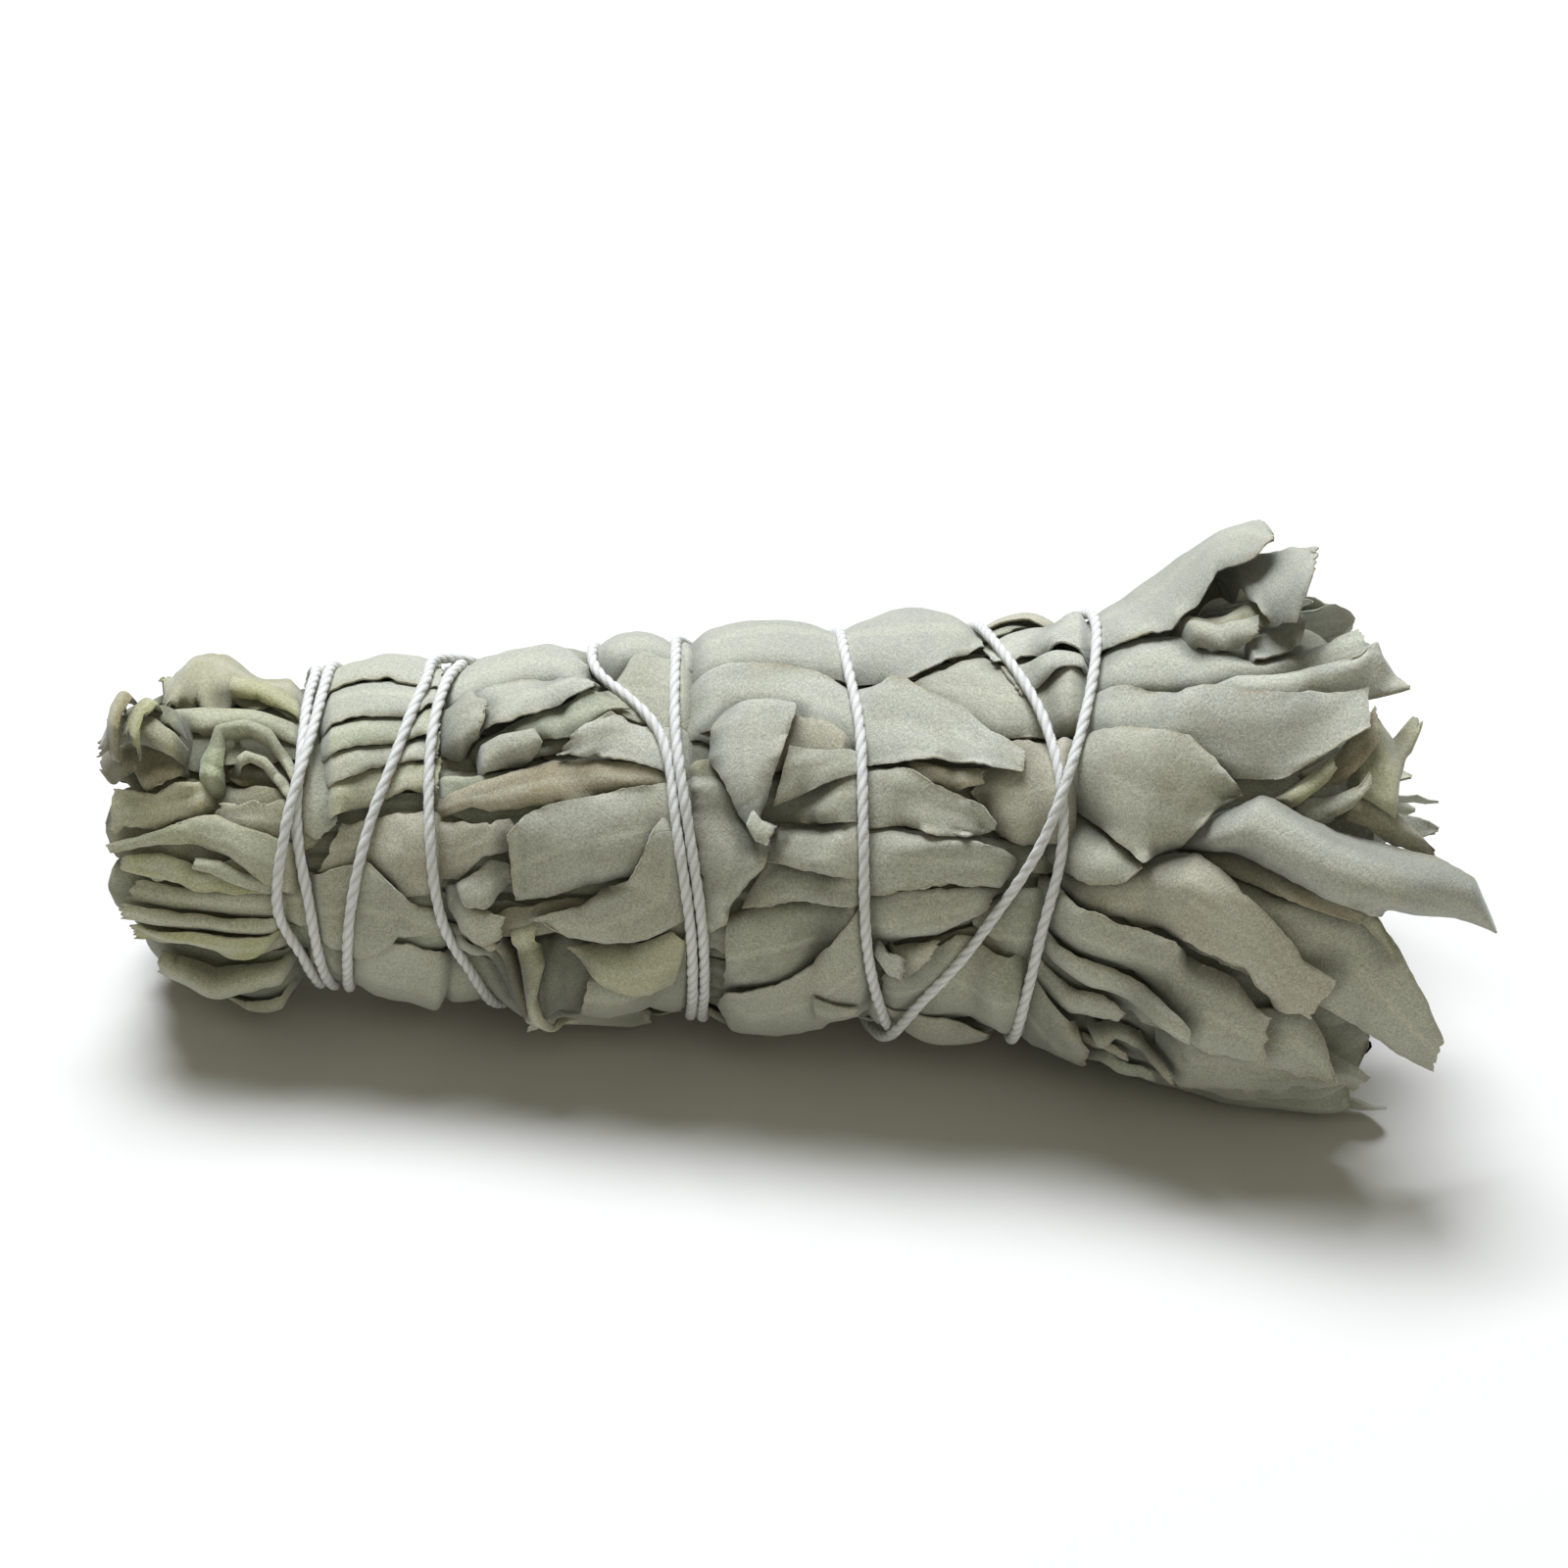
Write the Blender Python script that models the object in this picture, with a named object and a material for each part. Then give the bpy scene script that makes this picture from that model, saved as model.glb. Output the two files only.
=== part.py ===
"""A sage smudge stick: leafy white sage sprigs and loose leaves, laid over one another and bound with cotton twine.

+X runs along the stick from the cut stems to the leaf tips, +Z is up, and the origin is on the surface that the
stick lies on. Places on the bundle are worked out as x along its axis, an angle round it and a radius, in
millimetres and radians. Angle 0 faces -Y and a quarter turn faces up. to_world turns them into metres.
"""

import math
import random
from collections import namedtuple

import bmesh
import bpy
import numpy as np

MM = 0.001

# Driving dimensions, millimetres
GIRTH = ((-55, 11.6), (-39, 13.0), (-25, 14.1), (-8, 15.8), (10, 16.8), (23, 17.5), (30, 19.2), (38, 21.5), (55, 22.5))
AXIS_PLACE = (0.15, 0.6, 17.12)
TWINE_ROOM = 2.93
AXIS_RISE = 0.055
TWINE_DIAMETER = 1.2
LEAF_THICKNESS = 0.7
CLEARANCE = 0.3

# How the bundle is made up, millimetres. The leaves that show lie in a layer whose depth follows from how many
# lie over one another there: it starts even and is then worked out from where they came to lie.
FIRST_DEPTH = 4.0
LEAST_DEPTH = 1.4
MOST_DEPTH_SHARE = 0.36
WAIST_DEPTH = 0.9
WAIST_WIDTH = 3.2
HEART_SHARE = 0.4
HEART_ENDS = (-45.5, 21.0)
SHELL_ENDS = (-44.5, 24.0)
STEM_RADIUS = 1.25
STEM_END = -50.5
STEM_TOP = -30.0

SPRIGS = 6
SPRIG_ANGLE = 2 * math.pi / SPRIGS
SPRIG_TURN = math.radians(15)
SPRIG_SEED = 41
SPRIG_LEVELS = (8.5, 10.6, 12.7, 14.8, 16.6)
BACK_SEED = 7

# Radius map: how far out the bundle reaches so far, in cells along the axis and round it
MAP_START = -60.0
MAP_STEP = 0.5
MAP_LENGTH = 240
MAP_ROUND = 240

SPRIG_GRID = (6, 3)
LOOSE_GRID = (7, 4)
SAMPLES = 10

# Colours of the materials
SAGE = (0.34, 0.36, 0.27, 1)
COTTON = (0.72, 0.72, 0.68, 1)

Leaf = namedtuple("Leaf", "name root tip width bow reach curl")

# Loose leaves on the side that the photograph shows, innermost first. Root and tip are x in mm and the angle in
# degrees, then come the width, the sideways bow, the radius that the tip reaches (0: it lies on what is
# under it) and how far the edges stand up.
FRONT_LEAVES = (
    ("head_low_2", (22, -34), (46, -43), 9.5, 0.0, 20.5, 0.4),
    ("head_low_1", (18, -14), (48, -36), 10.0, 0.0, 20.0, 0.4),
    ("head_fan_3", (18, 14), (51, -19), 12.5, 0.5, 20.0, 0.6),
    ("head_fan_2", (18, 22), (43, -7), 10.0, -0.6, 19.8, 0.4),
    ("head_fan_1", (15, 10), (38, -23), 8.5, 0.8, 20.0, 0.3),
    ("head_round", (14, 46), (26.5, 19), 8.2, 0.0, 0.0, 0.2),
    ("head_roll", (22, 33), (55, -1), 7.0, 0.6, 15.0, 1.2),
    ("head_corner", (19, 58), (31, 24), 9.8, 0.0, 0.0, 0.3),
    ("head_point", (22, 71), (48, 67), 6.0, 0.0, 17.0, 0.5),
    ("head_crest", (16, 88), (45.5, 78), 9.0, 0.0, 18.5, 0.5),
    ("head_broad", (14, 58), (45.5, 59), 12.0, 0.0, 18.5, 0.5),
    ("head_top", (14, 97), (41.5, 97), 12.0, 0.6, 24.5, 0.8),
    ("head_back", (17, 120), (38, 114), 11.5, 0.0, 24.0, 0.8),
    ("belly_low", (0, -38), (18, -12), 9.5, 0.0, 0.0, 0.3),
    ("belly_5", (0, -8), (18, 8), 8.5, 0.5, 0.0, 0.3),
    ("belly_4", (-1, 26), (18.5, 20), 8.4, 0.0, 0.0, 0.3),
    ("belly_3", (-1, 51), (18, 34), 8.4, 0.0, 0.0, 0.3),
    ("belly_ridge", (3, 84), (22, 63), 8.4, 0.0, 0.0, 0.3),
    ("belly_top", (-8, 103), (17, 106), 10.5, 0.0, 0.0, 0.4),
    ("belly_broad", (-11, 76), (16.5, 60), 11.0, -0.5, 0.0, 0.3),
    ("waist_low_1", (7, 4), (-8, -30), 9.2, 0.0, 0.0, 0.3),
    ("waist_mid", (7, 26), (-5, 18), 8.6, 0.0, 0.0, 0.3),
    ("waist_ragged", (1, 50), (-8, -6), 9.2, 0.0, 0.0, 0.3),
    ("waist_hanging", (1, 84), (-3, 26), 8.4, 0.4, 0.0, 0.5),
    ("side_upper", (-30, 76), (-13, 88), 8.4, 0.0, 0.0, 0.4),
    ("side_wedge", (-5, 20), (-21, -8), 10.4, 0.0, 0.0, 0.3),
    ("side_broad", (-6, 48), (-24.5, 13), 11.4, 0.4, 0.0, 0.4),
    ("neck_low", (-41, -33), (-20, -26), 9.0, 0.0, 0.0, 0.3),
    ("neck_wedge", (-41, 0), (-25, -7), 9.6, 0.0, 0.0, 0.3),
    ("neck_broad", (-40, 28), (-20, 26), 10.0, 0.0, 0.0, 0.3),
    ("neck_upper", (-41, 60), (-24, 72), 8.6, 0.8, 0.0, 0.4),
    ("neck_top", (-40, 97), (-22, 102), 9.0, 0.0, 0.0, 0.5),
    ("foot_low_2", (-35, -36), (-51.8, -38), 7.5, 0.0, 0.0, 0.4),
    ("foot_low_1", (-35, -14), (-50.7, -9), 7.0, 0.5, 0.0, 0.4),
    ("foot_mid", (-35, 8), (-52.6, 10), 7.0, 0.0, 0.0, 0.5),
    ("foot_broad", (-35, 32), (-54.0, 33), 8.5, -0.5, 0.0, 0.5),
    ("foot_crumpled", (-37, 56), (-55.0, 62), 8.5, 0.0, 0.0, 0.6),
    ("foot_upper", (-35, 80), (-50.5, 84), 7.5, 0.0, 0.0, 0.4),
    ("foot_top", (-35, 106), (-50.0, 108), 8.0, 0.0, 0.0, 0.4),
)
BACK_ROWS = (
    # root x, tip x, first and last angle in degrees, number of leaves, width, radius that the tips reach
    (-35, -51, 145, 300, 3, 11.0, 0.0),
    (-41, -5, 130, 300, 3, 14.0, 0.0),
    (-9, 27, 125, 295, 3, 14.5, 0.0),
    (16, 46, 135, 300, 3, 15.0, 22.3),
)

# The twine: x where each turn passes 120, 90, 60, 30, 0, -30 and -60 degrees in front, then -90 to -210 in steps
# of 30 degrees behind, in mm, in winding order
STRANDS = (
    (-37.6, -38.1, -39.0, -38.6, -37.7, -37.4, -36.8, -36.9, -36.6, -35.6, -33.0, -29.6),
    (-26.1, -27.0, -28.2, -28.5, -27.3, -24.4, -22.5, -21.4, -20.2, -19.0, -17.8, -16.6),
    (-15.6, -15.0, -9.8, -8.5, -7.7, -8.1, -8.4, -8.4, -8.3, -5.5, -2.6, 0.4),
    (3.2, 4.1, 5.3, 5.6, 5.8, 6.8, 8.0, 9.0, 10.0, 11.0, 12.0, 13.0),
    (14.0, 15.9, 19.2, 20.5, 18.8, 17.4, 16.9, 17.4, 18.4, 19.4, 20.4, 21.4),
    (22.3, 23.3, 22.2, 19.3, 14.4, 9.4, 6.4, 4.6, 2.0, -0.8, -3.6, -6.4),
    (-8.9, -8.9, -8.1, -6.8, -5.9, -6.3, -6.6, -6.7, -7.2, -11.5, -17.0, -22.4),
    (-27.7, -28.6, -30.4, -33.2, -34.8, -35.2, -35.2, -35.2, -35.2, -35.3, -35.5, -35.8),
    (-36.1, -36.4, -37.4, -39.7, -40.2, -39.8, -39.5),
)
STRAND_TOP = math.radians(120)
STRAND_STEP = math.radians(30)
TWINE_POINTS = 24

# The knot on the back: the twine's first end lies under it (degrees, x in mm), its last end comes to it, coils
# round the first one and ends in a short tail
FIRST_END = ((231, -38.6), (215, -39.6), (200, -40.3), (160, -39.4), (140, -38.6))
LAST_END = ((-80, -40.1), (-100, -40.7), (-120, -41.3), (-140, -41.8), (-146, -41.9))
TAIL = ((-176, -43.0), (-184, -44.4), (-192, -45.6))
KNOT_ANGLE = math.radians(200)
KNOT_SPREAD = math.radians(7)
KNOT_TURNS = 2


def girth(x):
    """Outer radius of the tied bundle, before it settles on the surface."""
    places, radii = zip(*GIRTH)
    return np.interp(x, places, radii)


def heart_radius(x):
    """Outer radius of the middle sprig's pressed leaves and stems, inside the other sprigs."""
    return HEART_SHARE * girth(x)


def settled(x, angle, radius):
    """Radius after the bundle has settled: its underside flattens, while what lies there keeps its thickness."""
    room = AXIS_PLACE[2] + AXIS_RISE * x - np.interp(x, (25, 35), (TWINE_ROOM, 0))
    share = room / np.maximum(-np.sin(angle), 0.02) / girth(x)
    flattened = girth(x) * (1 - (1 + share**-24.0) ** (-1 / 24))
    return radius - flattened * np.minimum(1, radius / (0.65 * girth(x)))


def to_world(x, angle, radius):
    """Bundle places in mm to world places in metres. The last axis holds x, y and z."""
    x, angle, radius = np.broadcast_arrays(x, angle, radius)
    radius = settled(x, angle, radius)
    tilt = math.atan(AXIS_RISE)
    across = -radius * np.cos(angle)
    up = radius * np.sin(angle)
    along = x * math.cos(tilt) - up * math.sin(tilt)
    height = x * math.sin(tilt) + up * math.cos(tilt)
    return (np.stack([along, across, height], axis=-1) + AXIS_PLACE) * MM


def twine_route():
    """The winding as unwrapped angle and x: from the knot up the stick, then back to the knot."""
    turns = []
    for n, row in enumerate(STRANDS):
        turns += [(STRAND_TOP - i * STRAND_STEP - 2 * math.pi * n, x) for i, x in enumerate(row)]
    back = 2 * math.pi * (len(STRANDS) - 1)
    turns = [(math.radians(angle), x) for angle, x in FIRST_END] + turns
    turns += [(math.radians(angle) - back, x) for angle, x in LAST_END]
    angles, places = map(np.array, zip(*turns))
    wanted = np.arange(angles[0], angles[-1], -2 * math.pi / TWINE_POINTS)
    return wanted, smooth_run(angles, places, wanted)


def smooth_run(angles, places, wanted):
    """A smooth curve through places at falling angles, read at the wanted angles."""
    slopes = np.gradient(places, angles)
    index = np.clip(np.searchsorted(-angles, -wanted) - 1, 0, len(angles) - 2)
    span = angles[index + 1] - angles[index]
    t = (wanted - angles[index]) / span
    first, last = places[index], places[index + 1]
    first_slope, last_slope = slopes[index] * span, slopes[index + 1] * span
    return (
        (2 * t**3 - 3 * t**2 + 1) * first
        + (t**3 - 2 * t**2 + t) * first_slope
        + (3 * t**2 - 2 * t**3) * last
        + (t**3 - t**2) * last_slope
    )


def waist(x, angle):
    """How far the tight twine draws the bundle in at a place."""
    route_angles, route_x = twine_route()
    nearest = np.full(np.broadcast(x, angle).shape, 100.0)
    for place, turned in zip(route_x, route_angles):
        around = (angle - turned + math.pi) % (2 * math.pi) - math.pi
        nearest = np.minimum(nearest, np.hypot(x - place, around * girth(place) * 0.6))
    return WAIST_DEPTH * np.exp(-((nearest / WAIST_WIDTH) ** 2))


class RadiusMap:
    """How far out the bundle reaches so far, at each place along it and round it, over a layer's depth there."""

    def __init__(self, depth):
        self.top = np.zeros((MAP_LENGTH, MAP_ROUND))
        self.depth = depth

    def cells(self, x, angle):
        along = np.clip(np.round((x - MAP_START) / MAP_STEP).astype(int), 1, MAP_LENGTH - 2)
        return along, np.round(angle / (2 * math.pi) * MAP_ROUND).astype(int) % MAP_ROUND

    def under(self, x, angle):
        return self.top[self.cells(x, angle)]

    def shell(self, x, angle):
        """Outer radius of the pressed stems and inner leaves, under the leaves that show."""
        return girth(x) - self.depth[self.cells(x, angle)]

    def cover(self, x, angle, radius):
        """Raises each cell that these points touch, and its neighbours, to their radius."""
        along, around = self.cells(x, angle)
        for step in (-1, 0, 1):
            for turn in (-1, 0, 1):
                np.maximum.at(self.top, (along + step, (around + turn) % MAP_ROUND), radius)

    def needed_depth(self):
        """Layer depth that brings what lies on the shell out to the girth, evened over neighbouring cells."""
        along = np.arange(MAP_LENGTH)
        places = MAP_START + along * MAP_STEP
        built = self.top - (girth(places)[:, None] - self.depth)
        ends = np.searchsorted(places, (SHELL_ENDS[0] + 2, SHELL_ENDS[1] - 1))
        built = built[np.clip(along, *ends)]
        for _ in range(3):
            built = sum(np.roll(built, step, axis=1) for step in range(-8, 9)) / 17
            padded = np.pad(built, ((6, 6), (0, 0)), mode="edge")
            built = sum(padded[step : step + MAP_LENGTH] for step in range(13)) / 13
        around = np.arange(MAP_ROUND) / MAP_ROUND * 2 * math.pi
        built = built + waist(places[:, None], around[None, :])
        return np.clip(built, LEAST_DEPTH, MOST_DEPTH_SHARE * girth(places)[:, None])


def outline(s):
    """Half width of a sage leaf along its length, as a share of its widest."""
    rise = np.minimum(1, (0.12 + s / 0.3)) ** 0.7
    fall = np.clip((s - 0.35) / 0.65, 0, 1) ** 2.4
    return rise * (1 - 0.86 * fall)


def leaf_grid(leaf, grid, draw):
    """x and angle of a grid of points over a leaf, with the shares along (0 to 1) and across (-1 to 1) it."""
    rows, columns = grid
    s = np.linspace(0, 1, rows)[:, None]
    t = np.linspace(-1, 1, columns)[None, :]
    (x0, a0), (x1, a1) = leaf.root, leaf.tip
    a0, a1 = math.radians(a0), math.radians(a1)
    radius = girth(x0 + s * (x1 - x0))
    run, rise = x1 - x0, (a1 - a0) * float(radius.mean())
    length = math.hypot(run, rise)
    waves = 1 + 0.07 * np.sin(2 * math.pi * (2.6 * s + draw.random())) * np.sign(t)
    half = leaf.width / 2 * outline(s) * waves
    side = t * half + leaf.bow * np.sin(math.pi * s)
    x = x0 + s * run - side * rise / length
    angle = a0 + s * (a1 - a0) + side * run / length / radius
    return x, angle, s, t


def between(values, steps):
    """Grid values read at steps points between each two, by straight lines."""
    for axis in (0, 1):
        count = values.shape[axis]
        wanted = np.linspace(0, count - 1, (count - 1) * steps + 1)
        low = np.minimum(wanted.astype(int), count - 2)
        share = (wanted - low).reshape([-1 if i == axis else 1 for i in range(values.ndim)])
        values = np.take(values, low, axis) * (1 - share) + np.take(values, low + 1, axis) * share
    return values


def faceted(x, angle, radius):
    """Points all over the flat facets between grid points, as x, angle and radius."""
    flat = between(np.stack([x, radius * np.cos(angle), radius * np.sin(angle)], axis=-1), SAMPLES)
    return flat[..., 0], np.arctan2(flat[..., 2], flat[..., 1]), np.hypot(flat[..., 1], flat[..., 2])


def lift_clear(x, angle, radius, under):
    """Raises grid points until the facets between them clear what is under them."""
    for _ in range(3):
        fx, fa, fr = faceted(x, angle, radius)
        short = under(fx, fa) + CLEARANCE - fr
        if short.max() <= 0:
            break
        for i in range(radius.shape[0]):
            for j in range(radius.shape[1]):
                near = short[
                    max(0, (i - 1) * SAMPLES) : (i + 1) * SAMPLES + 1,
                    max(0, (j - 1) * SAMPLES) : (j + 1) * SAMPLES + 1,
                ]
                radius[i, j] += max(0.0, near.max())
    return radius


def relaxed(radius):
    """Grid radii drawn part of the way to the mean of their neighbours, as a springy leaf would be."""
    padded = np.pad(radius, 1, mode="edge")
    mean = (padded[:-2, 1:-1] + padded[2:, 1:-1] + padded[1:-1, :-2] + padded[1:-1, 2:]) / 4
    return radius + 0.5 * (mean - radius)


def lay(x, angle, natural, bundle, from_x=-100.0):
    """Radius of a leaf's underside: its natural one, raised from from_x on to lie clear on what is under it."""

    def under(fx, fa):
        return np.where(fx > from_x, bundle.under(fx, fa), 0)

    radius = lift_clear(x, angle, natural.copy(), under)
    for _ in range(2):
        radius = lift_clear(x, angle, np.maximum(natural, relaxed(radius)), under)
    fx, fa, fr = faceted(x, angle, radius + LEAF_THICKNESS)
    shown = fx > from_x - 6
    bundle.cover(fx[shown], fa[shown], fr[shown])
    return radius


def blade(name, x, angle, radius):
    """A closed leaf: the grid's underside, the same grid a leaf's thickness further out, and a rim."""
    rows, columns = x.shape
    lower = to_world(x, angle, radius)
    upper = to_world(x, angle, radius + LEAF_THICKNESS)
    lower[..., 2] = np.maximum(lower[..., 2], LEAF_THICKNESS * MM)
    upper[..., 2] = np.maximum(upper[..., 2], 0)
    points = np.concatenate([lower.reshape(-1, 3), upper.reshape(-1, 3)])
    faces = []
    for i in range(rows - 1):
        for j in range(columns - 1):
            a = i * columns + j
            for corners in ((a, a + 1, a + columns + 1), (a, a + columns + 1, a + columns)):
                faces.append(corners)
                faces.append(tuple(c + rows * columns for c in reversed(corners)))
    ring = [j for j in range(columns)]
    ring += [i * columns + columns - 1 for i in range(1, rows)]
    ring += [(rows - 1) * columns + j for j in range(columns - 2, -1, -1)]
    ring += [i * columns for i in range(rows - 2, 0, -1)]
    for a, b in zip(ring, ring[1:] + ring[:1]):
        over = rows * columns
        faces.append((b, a, a + over))
        faces.append((b, a + over, b + over))
    return solid(name, points, faces)


def solid(name, points, faces):
    """An object from points and faces, with its faces turned outwards."""
    mesh = bpy.data.meshes.new(name)
    mesh.from_pydata([tuple(map(float, p)) for p in points], [], faces)
    build = bmesh.new()
    build.from_mesh(mesh)
    bmesh.ops.recalc_face_normals(build, faces=build.faces)
    build.to_mesh(mesh)
    build.free()
    return bpy.data.objects.new(name, mesh)


def bar(name, stations, rings):
    """A bar along the bundle: at each station x, a ring of angles and radii."""
    points = np.concatenate([to_world(x, *rings(x)) for x in stations])
    ring = len(points) // len(stations)
    faces = [tuple(range(ring)), tuple(range(len(points) - ring, len(points)))]
    for n in range(len(stations) - 1):
        for i in range(ring):
            a, b = n * ring + i, n * ring + (i + 1) % ring
            faces.append((a, b, b + ring))
            faces.append((a, b + ring, a + ring))
    return solid(name, points, faces)


def heart_ring(x):
    angles = np.arange(14) / 14 * 2 * math.pi
    return angles, np.full(14, heart_radius(x))


def shell_ring(x, middle, bundle):
    """Section of one outer sprig's pressed leaves and stems: a share of the ring round the middle sprig."""
    inner = heart_radius(x) + CLEARANCE
    low = middle + np.linspace(-1, 1, 4) * (SPRIG_ANGLE / 2 - CLEARANCE / 2 / inner)
    high = middle + np.linspace(1, -1, 5) * (SPRIG_ANGLE / 2 - CLEARANCE / 2 / inner / 1.5)
    rounding = 1 / math.cos(SPRIG_ANGLE / 6)
    radii = np.concatenate([np.full(4, inner * rounding), bundle.shell(x + 0 * high, high)])
    return np.concatenate([low, high]), radii


def stem(name, x_end, angle, radius):
    """A cut stem that runs into the bundle along its axis."""
    length = STEM_TOP - x_end
    made = bmesh.new()
    thin = STEM_RADIUS * 0.8
    bmesh.ops.create_cone(made, cap_ends=True, segments=7, radius1=STEM_RADIUS, radius2=thin, depth=length)
    mesh = bpy.data.meshes.new(name)
    made.to_mesh(mesh)
    made.free()
    for vertex in mesh.vertices:
        along = x_end + length / 2 + vertex.co.z
        across = radius * math.cos(angle) + vertex.co.x
        up = radius * math.sin(angle) + vertex.co.y
        vertex.co = to_world(along, math.atan2(up, across), math.hypot(across, up))
    mesh.update()
    turned = bmesh.new()
    turned.from_mesh(mesh)
    bmesh.ops.recalc_face_normals(turned, faces=turned.faces)
    turned.to_mesh(mesh)
    turned.free()
    return bpy.data.objects.new(name, mesh)


def joined(name, body, repeats, collection, material):
    """The body with its repeats fused to it by one Boolean union, as a mesh of its own."""
    helpers = bpy.data.collections.new(name + "_repeats")
    bpy.context.scene.collection.children.link(helpers)
    for repeat in repeats:
        helpers.objects.link(repeat)
    collection.objects.link(body)
    union = body.modifiers.new("union", "BOOLEAN")
    union.operation = "UNION"
    union.operand_type = "COLLECTION"
    union.collection = helpers
    union.solver = "MANIFOLD"
    evaluated = body.evaluated_get(bpy.context.evaluated_depsgraph_get())
    mesh = bpy.data.meshes.new_from_object(evaluated)
    mesh.name = name
    bpy.data.objects.remove(body)
    for repeat in repeats:
        bpy.data.objects.remove(repeat)
    bpy.data.collections.remove(helpers)
    made = bpy.data.objects.new(name, mesh)
    return finished(made, collection, material)


def finished(made, collection, material):
    """Links an object to the stick's collection and gives it its material."""
    if made.name not in collection.objects:
        collection.objects.link(made)
    made.data.materials.clear()
    made.data.materials.append(material)
    return made


def material(name, colour, roughness):
    made = bpy.data.materials.new(name)
    made.use_nodes = True
    shader = made.node_tree.nodes["Principled BSDF"]
    shader.inputs["Base Color"].default_value = colour
    shader.inputs["Roughness"].default_value = roughness
    shader.inputs["Metallic"].default_value = 0.0
    return made


def kept_in_sector(x, angle, middle, radius):
    """Angles of a sprig's leaf, drawn in to its own share of the bundle as far as the sprig's pressed part goes."""
    limit = SPRIG_ANGLE / 2 - CLEARANCE / radius
    share = np.clip((x - SHELL_ENDS[1] - 3) / 5, 0, 1)
    held = middle + (angle - middle) * np.minimum(1, limit / np.maximum(np.abs(angle - middle), 1e-6))
    return held + (angle - held) * share


def sprig_leaf(leaf, level, middle, bundle, draw):
    """A leaf that grows out of the leafy end of its sprig's pressed part, and flares to the radius it reaches."""
    x, angle, s, t = leaf_grid(leaf, SPRIG_GRID, draw)
    inner, outer = heart_radius(SHELL_ENDS[1]), float(bundle.shell(SHELL_ENDS[1], middle))
    root_radius = inner + 0.7 + (outer - inner - 2.2) * level / (len(SPRIG_LEVELS) - 1)
    angle = kept_in_sector(x, angle, middle, root_radius)
    beyond = np.clip((x - SHELL_ENDS[1]) / (leaf.tip[0] - SHELL_ENDS[1]), 0, 1)
    natural = root_radius + (leaf.reach - root_radius) * beyond**0.8 + leaf.curl * np.abs(t) ** 3 * beyond
    radius = lay(x, angle, natural, bundle, SHELL_ENDS[1] + 2.5)
    radius[0] = natural[0]
    return x, angle, radius


def base_leaf(leaf, middle, draw):
    """A leaf end that stands out of the cut end of a sprig."""
    x, angle, s, t = leaf_grid(leaf, SPRIG_GRID, draw)
    limit = SPRIG_ANGLE / 2 - CLEARANCE / leaf.reach
    angle = middle + (angle - middle) * min(1.0, limit / np.abs(angle - middle).max())
    return x, angle, leaf.reach + 0.4 * np.sin(5 * s + draw.random() * 6) * s * np.ones_like(t)


def lay_sprigs(bundle):
    """Grids of the leaves that stand out of the outer sprigs, sprig by sprig."""
    draws = [random.Random(SPRIG_SEED + k) for k in range(SPRIGS)]
    middles = [SPRIG_TURN + k * SPRIG_ANGLE for k in range(SPRIGS)]
    leaves = [[] for _ in range(SPRIGS)]
    for k in range(SPRIGS):
        draw, middle = draws[k], middles[k]
        for n, share in enumerate((0.25, 0.8)):
            radius = heart_radius(-44) + share * (bundle.shell(-44, middle) - heart_radius(-44)) - 0.2
            turned = math.degrees(middle) + (n - 0.5) * 14
            tip = (draw.uniform(-53, -49), turned + draw.uniform(-6, 6))
            leaf = Leaf("base", (-38, turned), tip, draw.uniform(6, 7.5), 0, float(radius), 0)
            grid = base_leaf(leaf, middle, draw)
            fx, fa, fr = faceted(grid[0], grid[1], grid[2] + LEAF_THICKNESS)
            beyond = fx < SHELL_ENDS[0]
            bundle.cover(fx[beyond], fa[beyond], fr[beyond])
            leaves[k].append(grid)
    for level, reach in enumerate(SPRIG_LEVELS):
        for k in range(SPRIGS):
            draw, turned = draws[k], math.degrees(middles[k])
            root = (19, turned + draw.uniform(-5, 5))
            tip = (draw.uniform(40, 49), turned + (level * 2 % 5 - 2) * 7 + draw.uniform(-4, 4))
            leaf = Leaf("head", root, tip, draw.uniform(8.5, 11), draw.uniform(-1, 1), reach, 0.5)
            leaves[k].append(sprig_leaf(leaf, level, middles[k], bundle, draw))
    x, angle = np.meshgrid(np.arange(SHELL_ENDS[0], SHELL_ENDS[1], 0.4), np.linspace(0, 2 * math.pi, 400))
    bundle.cover(x, angle, bundle.shell(x, angle) + 0.1)
    return leaves


def lay_heart(bundle):
    """Grids of the leaves at the leafy end of the middle sprig."""
    draw = random.Random(SPRIG_SEED - 1)
    leaves = []
    for n in range(9):
        turned = n * 137.5
        reach = 1.8 + 0.55 * n
        tip = (50 - 0.6 * n + draw.uniform(-2, 2), turned + draw.uniform(-15, 15))
        leaf = Leaf("head", (14, turned), tip, draw.uniform(6, 8), 0, reach, 0.0)
        x, angle, s, t = leaf_grid(leaf, SPRIG_GRID, draw)
        angle = math.radians(turned) + (angle - math.radians(turned)) * min(2.0, girth(30.0) / (reach + 5))
        radius = 1.2 + (reach - 1.2) * np.clip(s, 0, 1) + 0 * t
        fx, fa, fr = faceted(x, angle, radius + LEAF_THICKNESS)
        beyond = fx > SHELL_ENDS[1] - 2
        bundle.cover(fx[beyond], fa[beyond], fr[beyond])
        leaves.append((x, angle, radius))
    return leaves


def natural_radius(leaf, x, angle, s, t, bundle):
    """Radius that a loose leaf would take with nothing under it: it lies along the bundle or flares from it."""
    lying = bundle.shell(x, angle) + CLEARANCE
    if leaf.reach:
        lying = lying + (leaf.reach - lying) * s**1.8
    return lying + leaf.curl * np.abs(t) ** 3 * np.sin(math.pi * s)


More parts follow.
